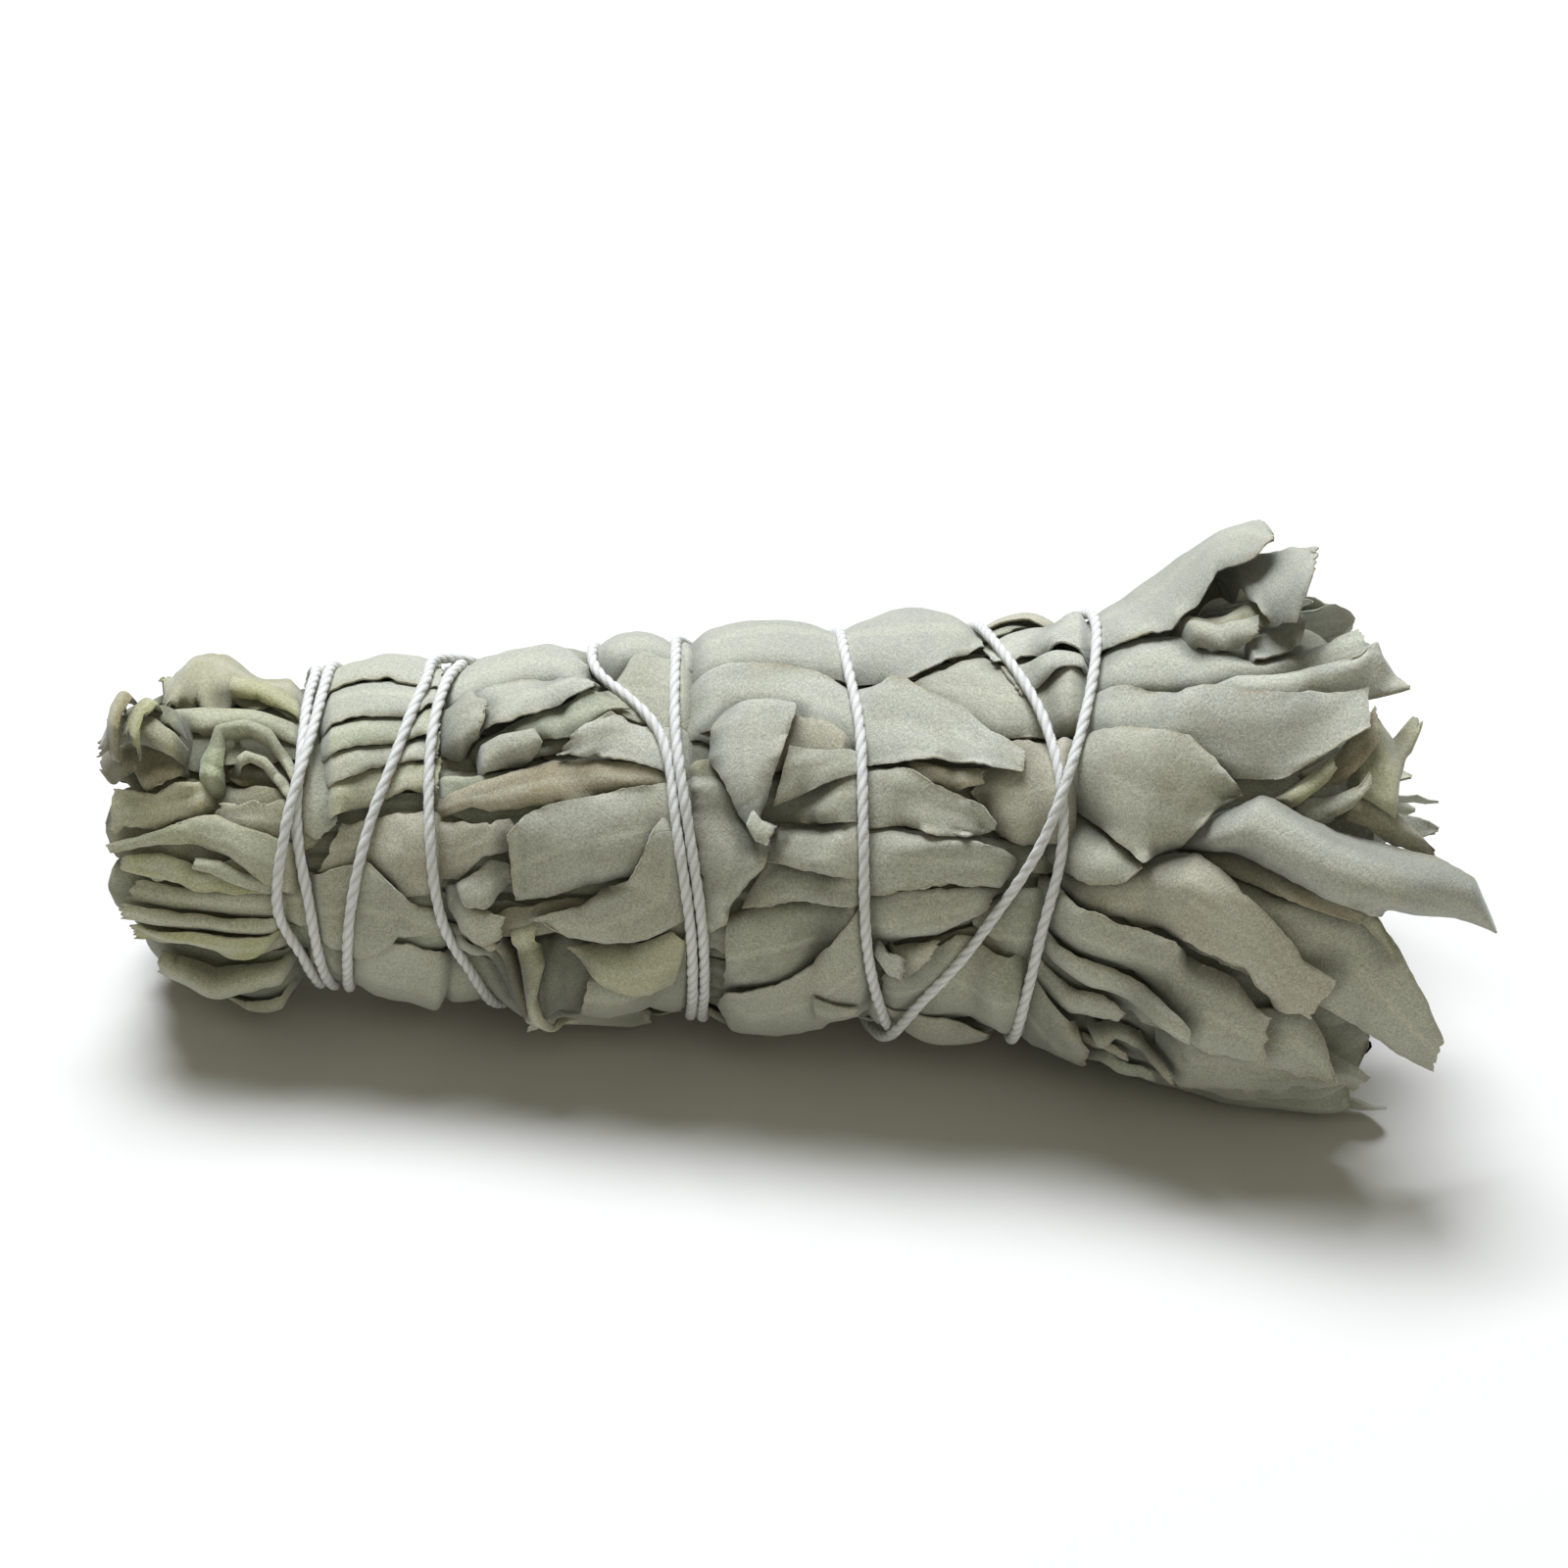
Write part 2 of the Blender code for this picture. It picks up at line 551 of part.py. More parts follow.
def lay_loose(bundle):
    """Grids of the loose leaves by name, innermost first."""
    draw = random.Random(BACK_SEED)
    grids = {}
    for leaf in back_leaves(draw) + [Leaf(*row) for row in FRONT_LEAVES]:
        x, angle, s, t = leaf_grid(leaf, LOOSE_GRID, draw)
        grids[leaf.name] = (x, angle, lay(x, angle, natural_radius(leaf, x, angle, s, t, bundle), bundle))
    return grids


def laid(depth):
    """Lays all leaves over a layer of this depth."""
    bundle = RadiusMap(depth)
    heart = lay_heart(bundle)
    sprigs = lay_sprigs(bundle)
    return bundle, heart, sprigs, lay_loose(bundle)


def heart_sprig(leaves, collection, sage):
    """The sprig in the middle of the bundle, which shows only at its two ends."""
    draw = random.Random(SPRIG_SEED)
    repeats = [stem("stem", STEM_END + draw.uniform(-1.5, 1.5), angle, 2.6) for angle in (0.6, 2.7, 4.8)]
    repeats += [blade("leaf", *grid) for grid in leaves]
    body = bar("heart", np.linspace(*HEART_ENDS, 9), heart_ring)
    joined("sprig_heart", body, repeats, collection, sage)


def outer_sprig(number, leaves, bundle, collection, sage):
    """A sprig beside the middle one: a cut stem, the pressed inner leaves and the leaves that stand out."""
    draw = random.Random(SPRIG_SEED + number)
    middle = SPRIG_TURN + number * SPRIG_ANGLE
    radius = (heart_radius(-44) + float(bundle.shell(-44, middle))) / 2
    repeats = [stem("stem", STEM_END + draw.uniform(-1.5, 1.5), middle, radius)]
    repeats += [blade("leaf", *grid) for grid in leaves]
    body = bar("shell", np.linspace(*SHELL_ENDS, 9), lambda x: shell_ring(x, middle, bundle))
    joined(f"sprig_{number + 1}", body, repeats, collection, sage)


def back_leaves(draw):
    """Loose leaves over the side that the photograph doesn't show, in rows from the stems to the tips."""
    leaves = []
    for row, (root_x, tip_x, first, last, count, width, reach) in enumerate(BACK_ROWS):
        for n in range(count):
            angle = first + (last - first) * (n + 0.5) / count + draw.uniform(-4, 4)
            turn = draw.uniform(-8, 8)
            root = (root_x, angle - turn)
            tip = (tip_x + draw.uniform(-2, 2), angle + turn)
            leaves.append(Leaf(f"back_{row + 1}_{n + 1}", root, tip, width, draw.uniform(-1, 1), reach, 0.3))
    return leaves


def chords(x, angle, radius, steps):
    """Points along the straight runs between places on the twine, as x, angle and radius."""
    flat = np.stack([x, radius * np.cos(angle), radius * np.sin(angle)])
    wanted = np.linspace(0, len(x) - 1, (len(x) - 1) * steps + 1)
    index = np.arange(len(x))
    fx, fy, fz = (np.interp(wanted, index, row) for row in flat)
    return fx, np.arctan2(fz, fy), np.hypot(fy, fz)


def drawn_tight(angle, held):
    """Radii of a taut string over the radii that hold it out: straight between the places that it touches."""
    radius = held.copy()
    cos_step = np.cos((angle[2:] - angle[:-2]) / 2)
    for _ in range(1500):
        straight = 2 * radius[2:] * radius[:-2] / (radius[2:] + radius[:-2]) * cos_step
        radius[1:-1] = np.maximum(radius[1:-1], straight)
    return radius


def bends(x, angle, taut, steps):
    """Radii of every steps-th place so that the straight runs between them stay outside the taut string."""
    radius = taut[::steps].copy()
    for n in range(8):
        short = np.maximum(taut - chords(x, angle, radius, steps)[2], 0)
        share = 0.6 if n < 6 else 1.0
        for i in range(len(x)):
            radius[i] += share * short[max(0, (i - 1) * steps) : (i + 1) * steps + 1].max()
    return radius


def over_earlier(x, angle, radius, apart):
    """Radius that each place needs to pass over the earlier strands that it crosses."""
    held = np.zeros(len(x))
    for i in range(apart, len(x)):
        turned = (angle[: i - apart] - angle[i] + math.pi) % (2 * math.pi) - math.pi
        near = np.hypot(x[: i - apart] - x[i], turned * radius[i]) < TWINE_DIAMETER + CLEARANCE
        if near.any():
            held[i] = radius[: i - apart][near].max() + TWINE_DIAMETER + CLEARANCE
    return held


def twine_path(bundle):
    """Places along the twine as x, angle and radius, without its knot."""
    angle, x = twine_route()
    steps = 6
    half = TWINE_DIAMETER / 2
    fx, fa, _ = chords(x, angle, girth(x), steps)
    run = np.interp(np.linspace(0, len(x) - 1, len(fx)), np.arange(len(x)), angle)
    offsets = np.linspace(-half, half, 5)
    on_leaves = bundle.under(fx[:, None] + offsets, fa[:, None] + np.zeros(5)).max(axis=1) + half + CLEARANCE
    knotted = np.abs(run - KNOT_ANGLE) < 1.8 * KNOT_SPREAD
    on_leaves[knotted] = on_leaves[knotted].max() + TWINE_DIAMETER + CLEARANCE
    taut = drawn_tight(run, on_leaves)
    for _ in range(3):
        crossing = over_earlier(fx, run, taut, TWINE_POINTS * steps // 2)
        taut = drawn_tight(run, np.maximum(on_leaves, crossing))
    return x, angle, bends(x, angle, taut, steps)


def knot(x, angle, radius):
    """The last end's coil round the first end, as x, angle and radius."""
    turned = np.linspace(0, 2 * math.pi * KNOT_TURNS, 10 * KNOT_TURNS + 1)
    place = KNOT_ANGLE + KNOT_SPREAD * (1 - 2 * turned / turned[-1])
    reach = TWINE_DIAMETER + 0.25
    first = slice(0, TWINE_POINTS)
    middle_x = np.interp(-place, -angle[first], x[first])
    middle_radius = np.interp(-place, -angle[first], radius[first])
    return middle_x - reach * np.cos(turned), place, middle_radius + reach * np.sin(turned)


def twine(bundle, collection, cotton):
    """The twine: one cotton string, wound up the stick and back over itself, drawn tight and knotted."""
    x, angle, radius = twine_path(bundle)
    coil_x, coil_angle, coil_radius = knot(x, angle, radius)
    tail_angle, tail_x = (np.array(row) for row in zip(*TAIL))
    tail_angle = np.radians(tail_angle)
    offsets = np.linspace(-1, 1, 9)
    tail_radius = bundle.under(tail_x[:, None] + offsets, tail_angle[:, None] + offsets / 10).max(axis=1)
    tail_radius += TWINE_DIAMETER / 2 + CLEARANCE
    path = to_world(
        np.concatenate([x, coil_x, tail_x]),
        np.concatenate([angle, coil_angle, tail_angle]),
        np.concatenate([radius, coil_radius, tail_radius]),
    )
    curve = bpy.data.curves.new("cotton_twine", "CURVE")
    curve.dimensions = "3D"
    curve.bevel_depth = TWINE_DIAMETER / 2 * MM
    curve.bevel_resolution = 1
    curve.use_fill_caps = True
    spline = curve.splines.new("POLY")
    spline.points.add(len(path) - 1)
    for point, place in zip(spline.points, path):
        point.co = (*map(float, place), 1)
    return finished(bpy.data.objects.new("cotton_twine", curve), collection, cotton)


def clear_scene():
    for old in list(bpy.data.objects):
        bpy.data.objects.remove(old)


def main():
    clear_scene()
    collection = bpy.data.collections.new("sage_smudge_stick")
    bpy.context.scene.collection.children.link(collection)
    sage = material("dried_sage", SAGE, 0.9)
    cotton = material("cotton", COTTON, 0.85)
    depth = laid(np.full((MAP_LENGTH, MAP_ROUND), FIRST_DEPTH))[0].needed_depth()
    bundle, heart, sprigs, loose = laid(depth)
    heart_sprig(heart, collection, sage)
    for number, leaves in enumerate(sprigs):
        outer_sprig(number, leaves, bundle, collection, sage)
    for name, grid in loose.items():
        finished(blade(name, *grid), collection, sage)
    twine(bundle, collection, cotton)


main()
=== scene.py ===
"""Looks of the sage smudge stick: every leaf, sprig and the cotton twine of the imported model, as fine meshes.

Places on the bundle are worked out as x along its axis, an angle round it and a radius, in millimetres and
radians. Angle 0 faces -Y, where the camera stands, and a quarter turn faces up. The leaves are laid one over
another from the inside out, each on what is under it, and the tight twine then presses them in.
"""

import math
import random
from collections import namedtuple

import bpy
import numpy as np
from mathutils import Matrix, Vector


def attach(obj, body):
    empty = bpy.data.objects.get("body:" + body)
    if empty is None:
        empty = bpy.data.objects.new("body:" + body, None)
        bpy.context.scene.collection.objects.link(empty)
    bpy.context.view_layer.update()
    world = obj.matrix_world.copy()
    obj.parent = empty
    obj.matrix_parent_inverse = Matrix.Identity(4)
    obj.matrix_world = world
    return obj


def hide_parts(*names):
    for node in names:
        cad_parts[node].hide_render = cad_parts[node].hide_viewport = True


MM = 0.001

# Driving dimensions of the bundle, millimetres. The girth is its outer radius at places along it
GIRTH = (
    (-55, 11.6), (-39, 13.0), (-25, 14.1), (-8, 15.8), (10, 16.8),
    (23, 17.5), (30, 19.2), (38, 21.5), (55, 22.5),
)
AXIS_PLACE = (0.15, 0.6, 17.12)
AXIS_RISE = 0.055

# How it lies: room under it for leaves, which ends where the head rests on its leaf tips, how sharply its
# underside turns flat, and the share of the radius that is soft enough for that
LEAF_ROOM = 0.8
HEAD_REST = (25, 35)
FLATTENING = 24.0
SOFT_SHARE = 0.65

TWINE_DIAMETER = 0.86
LEAF_THICKNESS = 0.26
LEAF_GAP = 0.05

# The layer of loose leaves: its depth at the first try, at least and at most, the share of it that is left
# where it is drawn in most, what may still stand out, and where along the head it is free
FIRST_DEPTH = 4.0
LEAST_DEPTH = 1.6
MOST_DEPTH_SHARE = 0.5
MOST_PACKED = 0.45
UNEVEN = 0.4
FREE_HEAD = (18, 26)

# The pressed stems and inner leaves under it, and the cut stems, which end a little unevenly
HEART_SHARE = 0.4
HEART_ENDS = (-45.5, 21.0)
HEART_SIDES = 28
SHELL_ENDS = (-44.5, 24.0)
SHELL_SIDES = (9, 41)
CUT_END = -44
STEM_RADIUS = 1.25
STEM_SIDES = 16
STEM_END = -50.5
STEM_UNEVEN = 1.5
STEM_TOP = -30.0
HEART_STEMS = (0.6, 2.7, 4.8)
HEART_STEM_PLACE = 2.6

# How the twine presses the leaves in, millimetres: how deep and how wide, right at the twine and further off.
# It holds down a leaf's own form out to HELD. Its distance is measured within REACH along the axis, or is FAR
PRESS = ((0.45, 1.1), (0.15, 3.0))
HELD = 2.4
REACH = np.array([-8, 8])
FAR = 100.0

# Painted shade in the gaps between leaves, millimetres: how deep a gap starts to be painted dark and how much
# deeper it is painted darkest, for narrow and for broad gaps, the cells that each is read over, and the share
# of the painted shade that is left at the two open ends
NARROW_GAP = (0.3, 0.9)
BROAD_GAP = (1.5, 3.0)
NARROW_CELLS = 2
BROAD_CELLS = 9
OPEN_ENDS = ((-54, -46, 30, 46), (0.5, 1, 1, 0.5))

# The outer sprigs, the radii that their leaves reach at the head, and how far out their leaves at the cut end
# lie, as shares. Where leaves are spread all round, each is turned on from the last by the same degrees
SPRIGS = 6
SPRIG_ANGLE = 2 * math.pi / SPRIGS
SPRIG_TURN = math.radians(15)
SPRIG_SEED = 41
SPRIG_LEVELS = (8.5, 10.6, 12.7, 14.8, 16.4, 17.8)
BASE_LEVELS = (0.15, 0.4, 0.62, 0.84)
HEART_LEAVES = 9
PRESSED_LEAVES = 72
BESIDE_BACK = 4
SPREAD_TURN = 137.5
BACK_SEED = 7

# The leaves that aren't traced: x of their roots and tips, their lengths and their widths, from least to
# most, for the cut end, the leafy end, the middle sprig, the pressed part and those beside the back leaves
BASE_ROOT = -38
BASE_TIPS = (-53, -49.5)
BASE_WIDTHS = (4.5, 7)
HEAD_ROOT = 19
HEAD_TIPS = (39, 47)
HEAD_WIDTHS = (10, 12.5)
HEART_ROOT = 14
HEART_TIP = 50
HEART_WIDTHS = (7, 9.5)
PRESSED_ROOTS = (-43, 14)
PRESSED_LENGTHS = (12, 18)
PRESSED_WIDTHS = (3.0, 5.0)
BESIDE_WIDTHS = (4, 8)

# Radius map: how far out the bundle reaches so far, in cells along the axis and round it
MAP_START = -60.0
MAP_STEP = 0.25
MAP_LENGTH = 480
MAP_ROUND = 480
EVENED_CELLS = (12, 16)

# Points along and across a leaf that shows and one that hardly does
FINE_GRID = (73, 15)
INNER_GRID = (41, 9)

# How a leaf lies on what is under it, millimetres: it bridges hollows as wide as a share of its half width
# more than the least, up to the most, and wider ones where it is rolled. Its edges and tip hug closer, its
# root tucks in, and a leaf that flares does so by this power of the way along it
BRIDGED_LEAST = 0.3
BRIDGED_SHARE = 0.4
BRIDGED_MOST = 1.9
BRIDGED_ROLLED = 1.2
ROLLED_ROWS = 10
EDGE_BRIDGED = 0.3
ROOT_TUCK = 1.3
FLARE = 1.4

# A leaf's own form. Waves along it have a shortest and a longest wavelength in mm and a number. What is drawn
# at random goes from a least to a most: the spacing of teeth, the place, width and depth of tears, the height
# and width of folds and creases. A midrib has a depth and a half width. Creases have a number, and how many
# more there are on a leaf that is all ragged
TEETH = (0.9, 1.3)
TEETH_WAVES = (3, 7, 2)
EATEN_WAVES = (2.0, 6, 3)
TEAR_PLACES = (0.35, 1.0)
TEAR_WIDTHS = (0.25, 0.8)
TEAR_DEPTHS = (0.4, 1.5)
WANDERING = (9, 20, 2)
EDGE_WAVES = (4, 11, 2)
RIPPLES = (2.2, 5, 3)
TRACED_RIPPLES = (2.2, 6, 3)
FOLDS = 5
FOLD_HEIGHTS = (0.05, 0.3)
FOLD_WIDTHS = (0.12, 0.3)
CREASES = (4, 8)
CREASE_HEIGHTS = (0.05, 0.22)
CREASE_WIDTHS = (0.4, 1.6)
MIDRIB = (0.12, 0.45)
TRACED_MIDRIB = (0.08, 0.4)

# Colours that leaves differ by, as linear red, green and blue. The dark one is also painted shade on the
# pressed stems and inner leaves and on many narrow pressed leaves, where they show in the gaps between the
# loose leaves
TONES = {
    "sage": (0.392, 0.388, 0.303),
    "pale": (0.43, 0.43, 0.36),
    "beige": (0.44, 0.41, 0.31),
    "brown": (0.33, 0.28, 0.18),
    "yellow": (0.41, 0.395, 0.245),
    "green": (0.37, 0.39, 0.28),
    "dark": (0.29, 0.29, 0.215),
}

# The cut end is drier: where it starts, in mm along the axis, and the share of each colour that is lost there
DRIED_FROM = (-42, -30)
DRIED_LOSS = np.array([0.13, 0.12, 0.28])

Leaf = namedtuple("Leaf", "node root tip width bow reach curl arch peak end tone ragged")
Traced = namedtuple("Traced", "node first second reach first_lift second_lift arch tone ragged")

# Leaves traced in the photograph, innermost first, in its pixels. Each has one edge and the other from
# the leaf's root to its tip, as seen from the camera. Then come the radius in mm that the tip reaches (0: it
# lies on what is under it), how far the first and the second edge stand up and how far the middle bulges, in
# mm, the tone, and how ragged the edges are. Points past the bundle's outline lie further round it
TRACED_LEAVES = (
    ("head_low_2", ((1180, 1040), (1260, 1060), (1330, 1075), (1400, 1090)), ((1180, 1088), (1230, 1096),
     (1290, 1108), (1385, 1106)), 20.8, 0.2, 0.2, 0.2, "dark", 0.4),
    ("head_low_1", ((1072, 1060), (1105, 1056), (1150, 1066)), ((1074, 1068), (1110, 1064), (1152, 1073)),
     0, 0.0, 0.0, 0.7, "sage", 0.2),
    ("head_low_1", ((1085, 1073), (1130, 1070), (1178, 1082)), ((1088, 1082), (1130, 1079), (1180, 1091)),
     0, 0.0, 0.0, 0.8, "green", 0.2),
    ("head_low_1", ((1110, 1050), (1150, 1052), (1195, 1068)), ((1112, 1058), (1150, 1061), (1197, 1078)),
     0, 0.0, 0.0, 0.8, "dark", 0.2),
    ("head_low_1", ((1190, 1030), (1260, 1030), (1330, 1036), (1352, 1062), (1364, 1084)), ((1200, 1060),
     (1262, 1078), (1310, 1084), (1362, 1086)), 20.3, 0.5, 0.3, 0.1, "sage", 0.2),
    ("head_fan_3", ((1180, 880), (1262, 900), (1300, 918), (1355, 926), (1395, 932), (1422, 962),
     (1450, 1010), (1474, 1052)), ((1190, 960), (1290, 1010), (1335, 1036), (1382, 1062), (1425, 1080),
     (1462, 1087)), 20.3, 0.4, 0.3, 0.4, "sage", 0.25),
    ("head_fan_3", ((1350, 925), (1392, 929), (1408, 942), (1428, 975)), ((1350, 938), (1392, 952),
     (1426, 980)), 20.8, 0.2, 0.2, 0.2, "yellow", 0.4),
    ("head_roll", ((1215, 866), (1290, 872), (1350, 905), (1392, 925)), ((1228, 887), (1275, 905),
     (1315, 922), (1385, 933)), 18.5, 0.3, 0.3, 0.1, "brown", 0.4),
    ("head_roll", ((1380, 796), (1410, 800), (1434, 835), (1463, 866)), ((1370, 832), (1400, 846),
     (1425, 867), (1466, 876)), 13.5, 0.5, 0.4, 0.2, "brown", 0.3),
    ("head_point", ((1380, 700), (1410, 713), (1420, 748), (1441, 737)), ((1385, 800), (1428, 835),
     (1433, 785), (1452, 742)), 14.0, 0.3, 0.3, 0.1, "yellow", 0.4),
    ("head_point", ((1325, 775), (1370, 756), (1400, 746)), ((1345, 797), (1375, 792), (1404, 775)), 15.0,
     0.0, 0.3, 0.1, "brown", 0.3),
    ("head_point", ((1318, 812), (1350, 807), (1385, 806), (1394, 797)), ((1325, 834), (1352, 842),
     (1378, 825), (1397, 808)), 15.5, 0.5, 0.3, 0.2, "sage", 0.3),
    ("head_point", ((1298, 812), (1322, 797), (1356, 780)), ((1320, 822), (1345, 804), (1362, 792)), 16.5,
     0.4, 0.2, 0.7, "yellow", 0.2),
    ("head_roll", ((1225, 835), (1268, 818), (1290, 806), (1316, 822), (1366, 848), (1440, 870),
     (1468, 876), (1506, 898), (1525, 942)), ((1205, 870), (1262, 872), (1320, 900), (1350, 912),
     (1440, 934), (1480, 936), (1525, 945)), 15.2, 0.1, 0.0, 2.6, "pale", 0.1),
    ("head_fan_2", ((1080, 893), (1165, 880), (1225, 870), (1270, 908), (1320, 962), (1342, 985),
     (1367, 995)), ((1072, 914), (1110, 932), (1160, 948), (1196, 957), (1270, 992), (1300, 1032),
     (1336, 1034)), 20.6, 0.3, 0.4, 0.5, "beige", 0.35),
    ("head_fan_1", ((1062, 900), (1110, 926), (1165, 946), (1200, 957), (1212, 980), (1262, 1002),
     (1284, 1026), (1298, 1028)), ((1055, 957), (1100, 985), (1160, 1004), (1212, 1050), (1240, 1064),
     (1290, 1067)), 20.6, 0.5, 0.2, 0.4, "sage", 0.4),
    ("head_fan_2", ((1060, 952), (1080, 968), (1130, 986), (1162, 1001), (1202, 1024), (1214, 1034)),
     ((1055, 970), (1075, 998), (1110, 1018), (1150, 1028), (1190, 1039), (1213, 1047)), 20.7, 0.1, 0.1,
     0.9, "sage", 0.2),
    ("head_fan_1", ((1052, 972), (1066, 1000), (1092, 1017), (1130, 1018), (1150, 1030)), ((1046, 985),
     (1056, 1022), (1090, 1046), (1142, 1042)), 0, 0.2, 0.2, 0.6, "sage", 0.3),
    ("head_low_1", ((1030, 995), (1060, 1012), (1095, 1045), (1112, 1060)), ((1020, 1064), (1060, 1094),
     (1085, 1094), (1108, 1072)), 0, 0.3, 0.2, 0.2, "dark", 0.3),
    ("head_round", ((1080, 812), (1110, 826), (1140, 848), (1165, 872)), ((1065, 880), (1080, 893),
     (1110, 902), (1145, 900), (1165, 884)), 0, 0.2, 0.5, 0.3, "sage", 0.1),
    ("head_crest", ((1095, 655), (1130, 650), (1160, 643), (1210, 643), (1240, 662), (1285, 671),
     (1320, 664), (1352, 653), (1386, 648)), ((1095, 706), (1180, 706), (1235, 705), (1262, 692),
     (1300, 686), (1345, 680), (1402, 668)), 19.3, 0.2, 0.5, 0.3, "pale", 0.25),
    ("head_point", ((1200, 702), (1240, 698), (1262, 688), (1300, 683), (1345, 678), (1388, 674),
     (1404, 667), (1418, 680), (1438, 706)), ((1200, 714), (1250, 714), (1300, 716), (1360, 714),
     (1400, 710), (1438, 708)), 18.2, 0.2, 0.2, 1.0, "pale", 0.2),
    ("head_broad", ((1092, 696), (1180, 703), (1235, 705), (1300, 710), (1350, 707), (1397, 705)),
     ((1085, 790), (1150, 790), (1215, 772), (1262, 792), (1310, 792), (1340, 777), (1372, 757),
     (1399, 748)), 19.3, 0.4, 0.6, 0.3, "pale", 0.2),
    ("head_corner", ((1090, 745), (1150, 744), (1212, 752), (1240, 772), (1270, 804)), ((1078, 812),
     (1115, 838), (1165, 880), (1205, 868), (1225, 845), (1245, 822), (1270, 808)), 0, 0.0, 0.6, 0.3,
     "sage", 0.15),
    ("head_back", ((1265, 638), (1300, 626), (1327, 627)), ((1275, 668), (1318, 664), (1334, 642)), 19.0,
     0.2, 0.3, 0.2, "pale", 0.3),
    ("head_back", ((1195, 638), (1225, 620), (1280, 607), (1296, 611)), ((1205, 654), (1240, 642),
     (1285, 640), (1304, 637)), 20.0, 0.1, 0.1, 0.9, "yellow", 0.2),
    ("head_back", ((1205, 646), (1240, 639), (1284, 634)), ((1215, 662), (1250, 661), (1285, 652)), 20.5,
     0.1, 0.1, 0.9, "sage", 0.2),
    ("head_back", ((1180, 575), (1240, 545), (1298, 552), (1322, 558), (1346, 566)), ((1215, 590),
     (1250, 582), (1272, 600), (1290, 622), (1324, 631), (1341, 592)), 24.6, 0.2, 0.4, 0.3, "pale", 0.3),
    ("head_top", ((1080, 600), (1140, 580), (1200, 535), (1236, 518), (1282, 522), (1300, 552)),
     ((1092, 662), (1150, 652), (1195, 634), (1225, 602), (1242, 577), (1280, 572), (1300, 560)), 24.4, 0.2,
     0.5, 0.3, "pale", 0.15),
    ("belly_low", ((1050, 985), (1000, 975), (975, 962), (930, 985), (900, 1005)), ((1055, 1064),
     (1030, 1072), (980, 1070), (940, 1066), (895, 1055)), 0, 0.3, 0.2, 0.1, "dark", 0.3),
    ("belly_low", ((880, 1036), (920, 1050), (960, 1052), (1010, 1064)), ((885, 1070), (930, 1076),
     (970, 1080), (1012, 1090)), 0, 0.3, 0.2, 0.2, "sage", 0.3),
    ("belly_5", ((866, 925), (885, 920), (915, 911), (955, 907), (1000, 908), (1022, 916)), ((866, 990),
     (890, 988), (920, 974), (960, 963), (985, 951), (1009, 939)), 0, 0.1, 0.5, 0.5, "sage", 0.25),
    ("belly_5", ((905, 972), (930, 970), (962, 962)), ((915, 990), (924, 1001), (948, 985)), 0, 0.2, 0.4,
     0.1, "beige", 0.4),
    ("belly_5", ((895, 968), (915, 970), (926, 975)), ((888, 985), (905, 997), (922, 1001)), 0, 0.2, 0.4,
     0.2, "pale", 0.4),
    ("belly_4", ((860, 835), (905, 839), (950, 850), (990, 855), (1020, 864), (1038, 878)), ((860, 935),
     (885, 921), (915, 912), (955, 905), (1000, 907), (1022, 914), (1036, 895)), 0, 0.6, 0.6, 0.4, "sage",
     0.2),
    ("belly_3", ((1098, 738), (1050, 744), (1020, 748), (992, 797)), ((1098, 860), (1045, 868), (1015, 850),
     (1003, 822), (990, 808)), 0, 0.2, 0.2, 0.2, "beige", 0.3),
    ("belly_3", ((920, 770), (960, 778), (1005, 785)), ((930, 790), (975, 806), (1005, 800)), 0, 0.2, 0.1,
     0.1, "brown", 0.3),
    ("belly_3", ((860, 768), (915, 777), (940, 790), (975, 808), (1003, 820), (1017, 838)), ((860, 848),
     (920, 843), (955, 853), (1000, 854), (1017, 847)), 0, 0.7, 0.4, 0.3, "sage", 0.2),
    ("belly_ridge", ((1112, 655), (1040, 658), (1005, 648), (960, 668), (922, 690)), ((1112, 739),
     (1060, 737), (1015, 745), (985, 722), (930, 696)), 0, 0.2, 0.5, 0.3, "sage", 0.2),
    ("belly_ridge", ((1112, 662), (1060, 662), (1020, 664)), ((1112, 676), (1075, 683), (1042, 697)), 0,
     0.3, 0.4, 0.3, "pale", 0.2),
    ("belly_ridge", ((1112, 615), (1050, 620), (1000, 632)), ((1112, 668), (1075, 661), (1042, 656),
     (1014, 669)), 0, 0.2, 0.5, 0.3, "pale", 0.25),
    ("belly_top", ((690, 625), (780, 608), (860, 602), (920, 602), (1002, 618)), ((690, 692), (780, 678),
     (830, 680), (870, 675), (922, 690), (960, 669), (1004, 645)), 0, 0.2, 0.5, 0.3, "pale", 0.25),
    ("belly_broad", ((690, 680), (780, 674), (870, 680), (925, 689), (985, 716), (1014, 742), (1047, 763)),
     ((690, 735), (760, 742), (820, 735), (868, 756), (885, 776), (930, 776), (955, 773), (1000, 784),
     (1045, 787)), 0, 0.4, 0.9, 0.3, "pale", 0.12),
    ("waist_low_1", ((884, 922), (815, 924), (780, 927), (740, 942)), ((884, 1010), (830, 1012),
     (790, 1020), (738, 1024)), 0, 0.2, 0.2, 0.1, "dark", 0.2),
    ("waist_low_1", ((886, 922), (856, 955), (830, 988), (790, 1010), (743, 1018)), ((892, 1048),
     (850, 1062), (815, 1072), (760, 1070), (730, 1045)), 0, 0.5, 0.2, 0.3, "sage", 0.15),
    ("waist_low_1", ((826, 1014), (850, 1024), (878, 1030)), ((830, 1042), (852, 1043), (874, 1038)), 0,
     0.1, 0.1, 0.0, "dark", 0.3),
    ("waist_mid", ((884, 880), (840, 888), (785, 875)), ((884, 930), (815, 925), (756, 932)), 0, 0.2, 0.5,
     0.2, "sage", 0.2),
    ("waist_mid", ((884, 828), (838, 842), (795, 843), (780, 860)), ((884, 900), (850, 896), (810, 888),
     (776, 880)), 0, 0.4, 0.5, 0.2, "sage", 0.2),
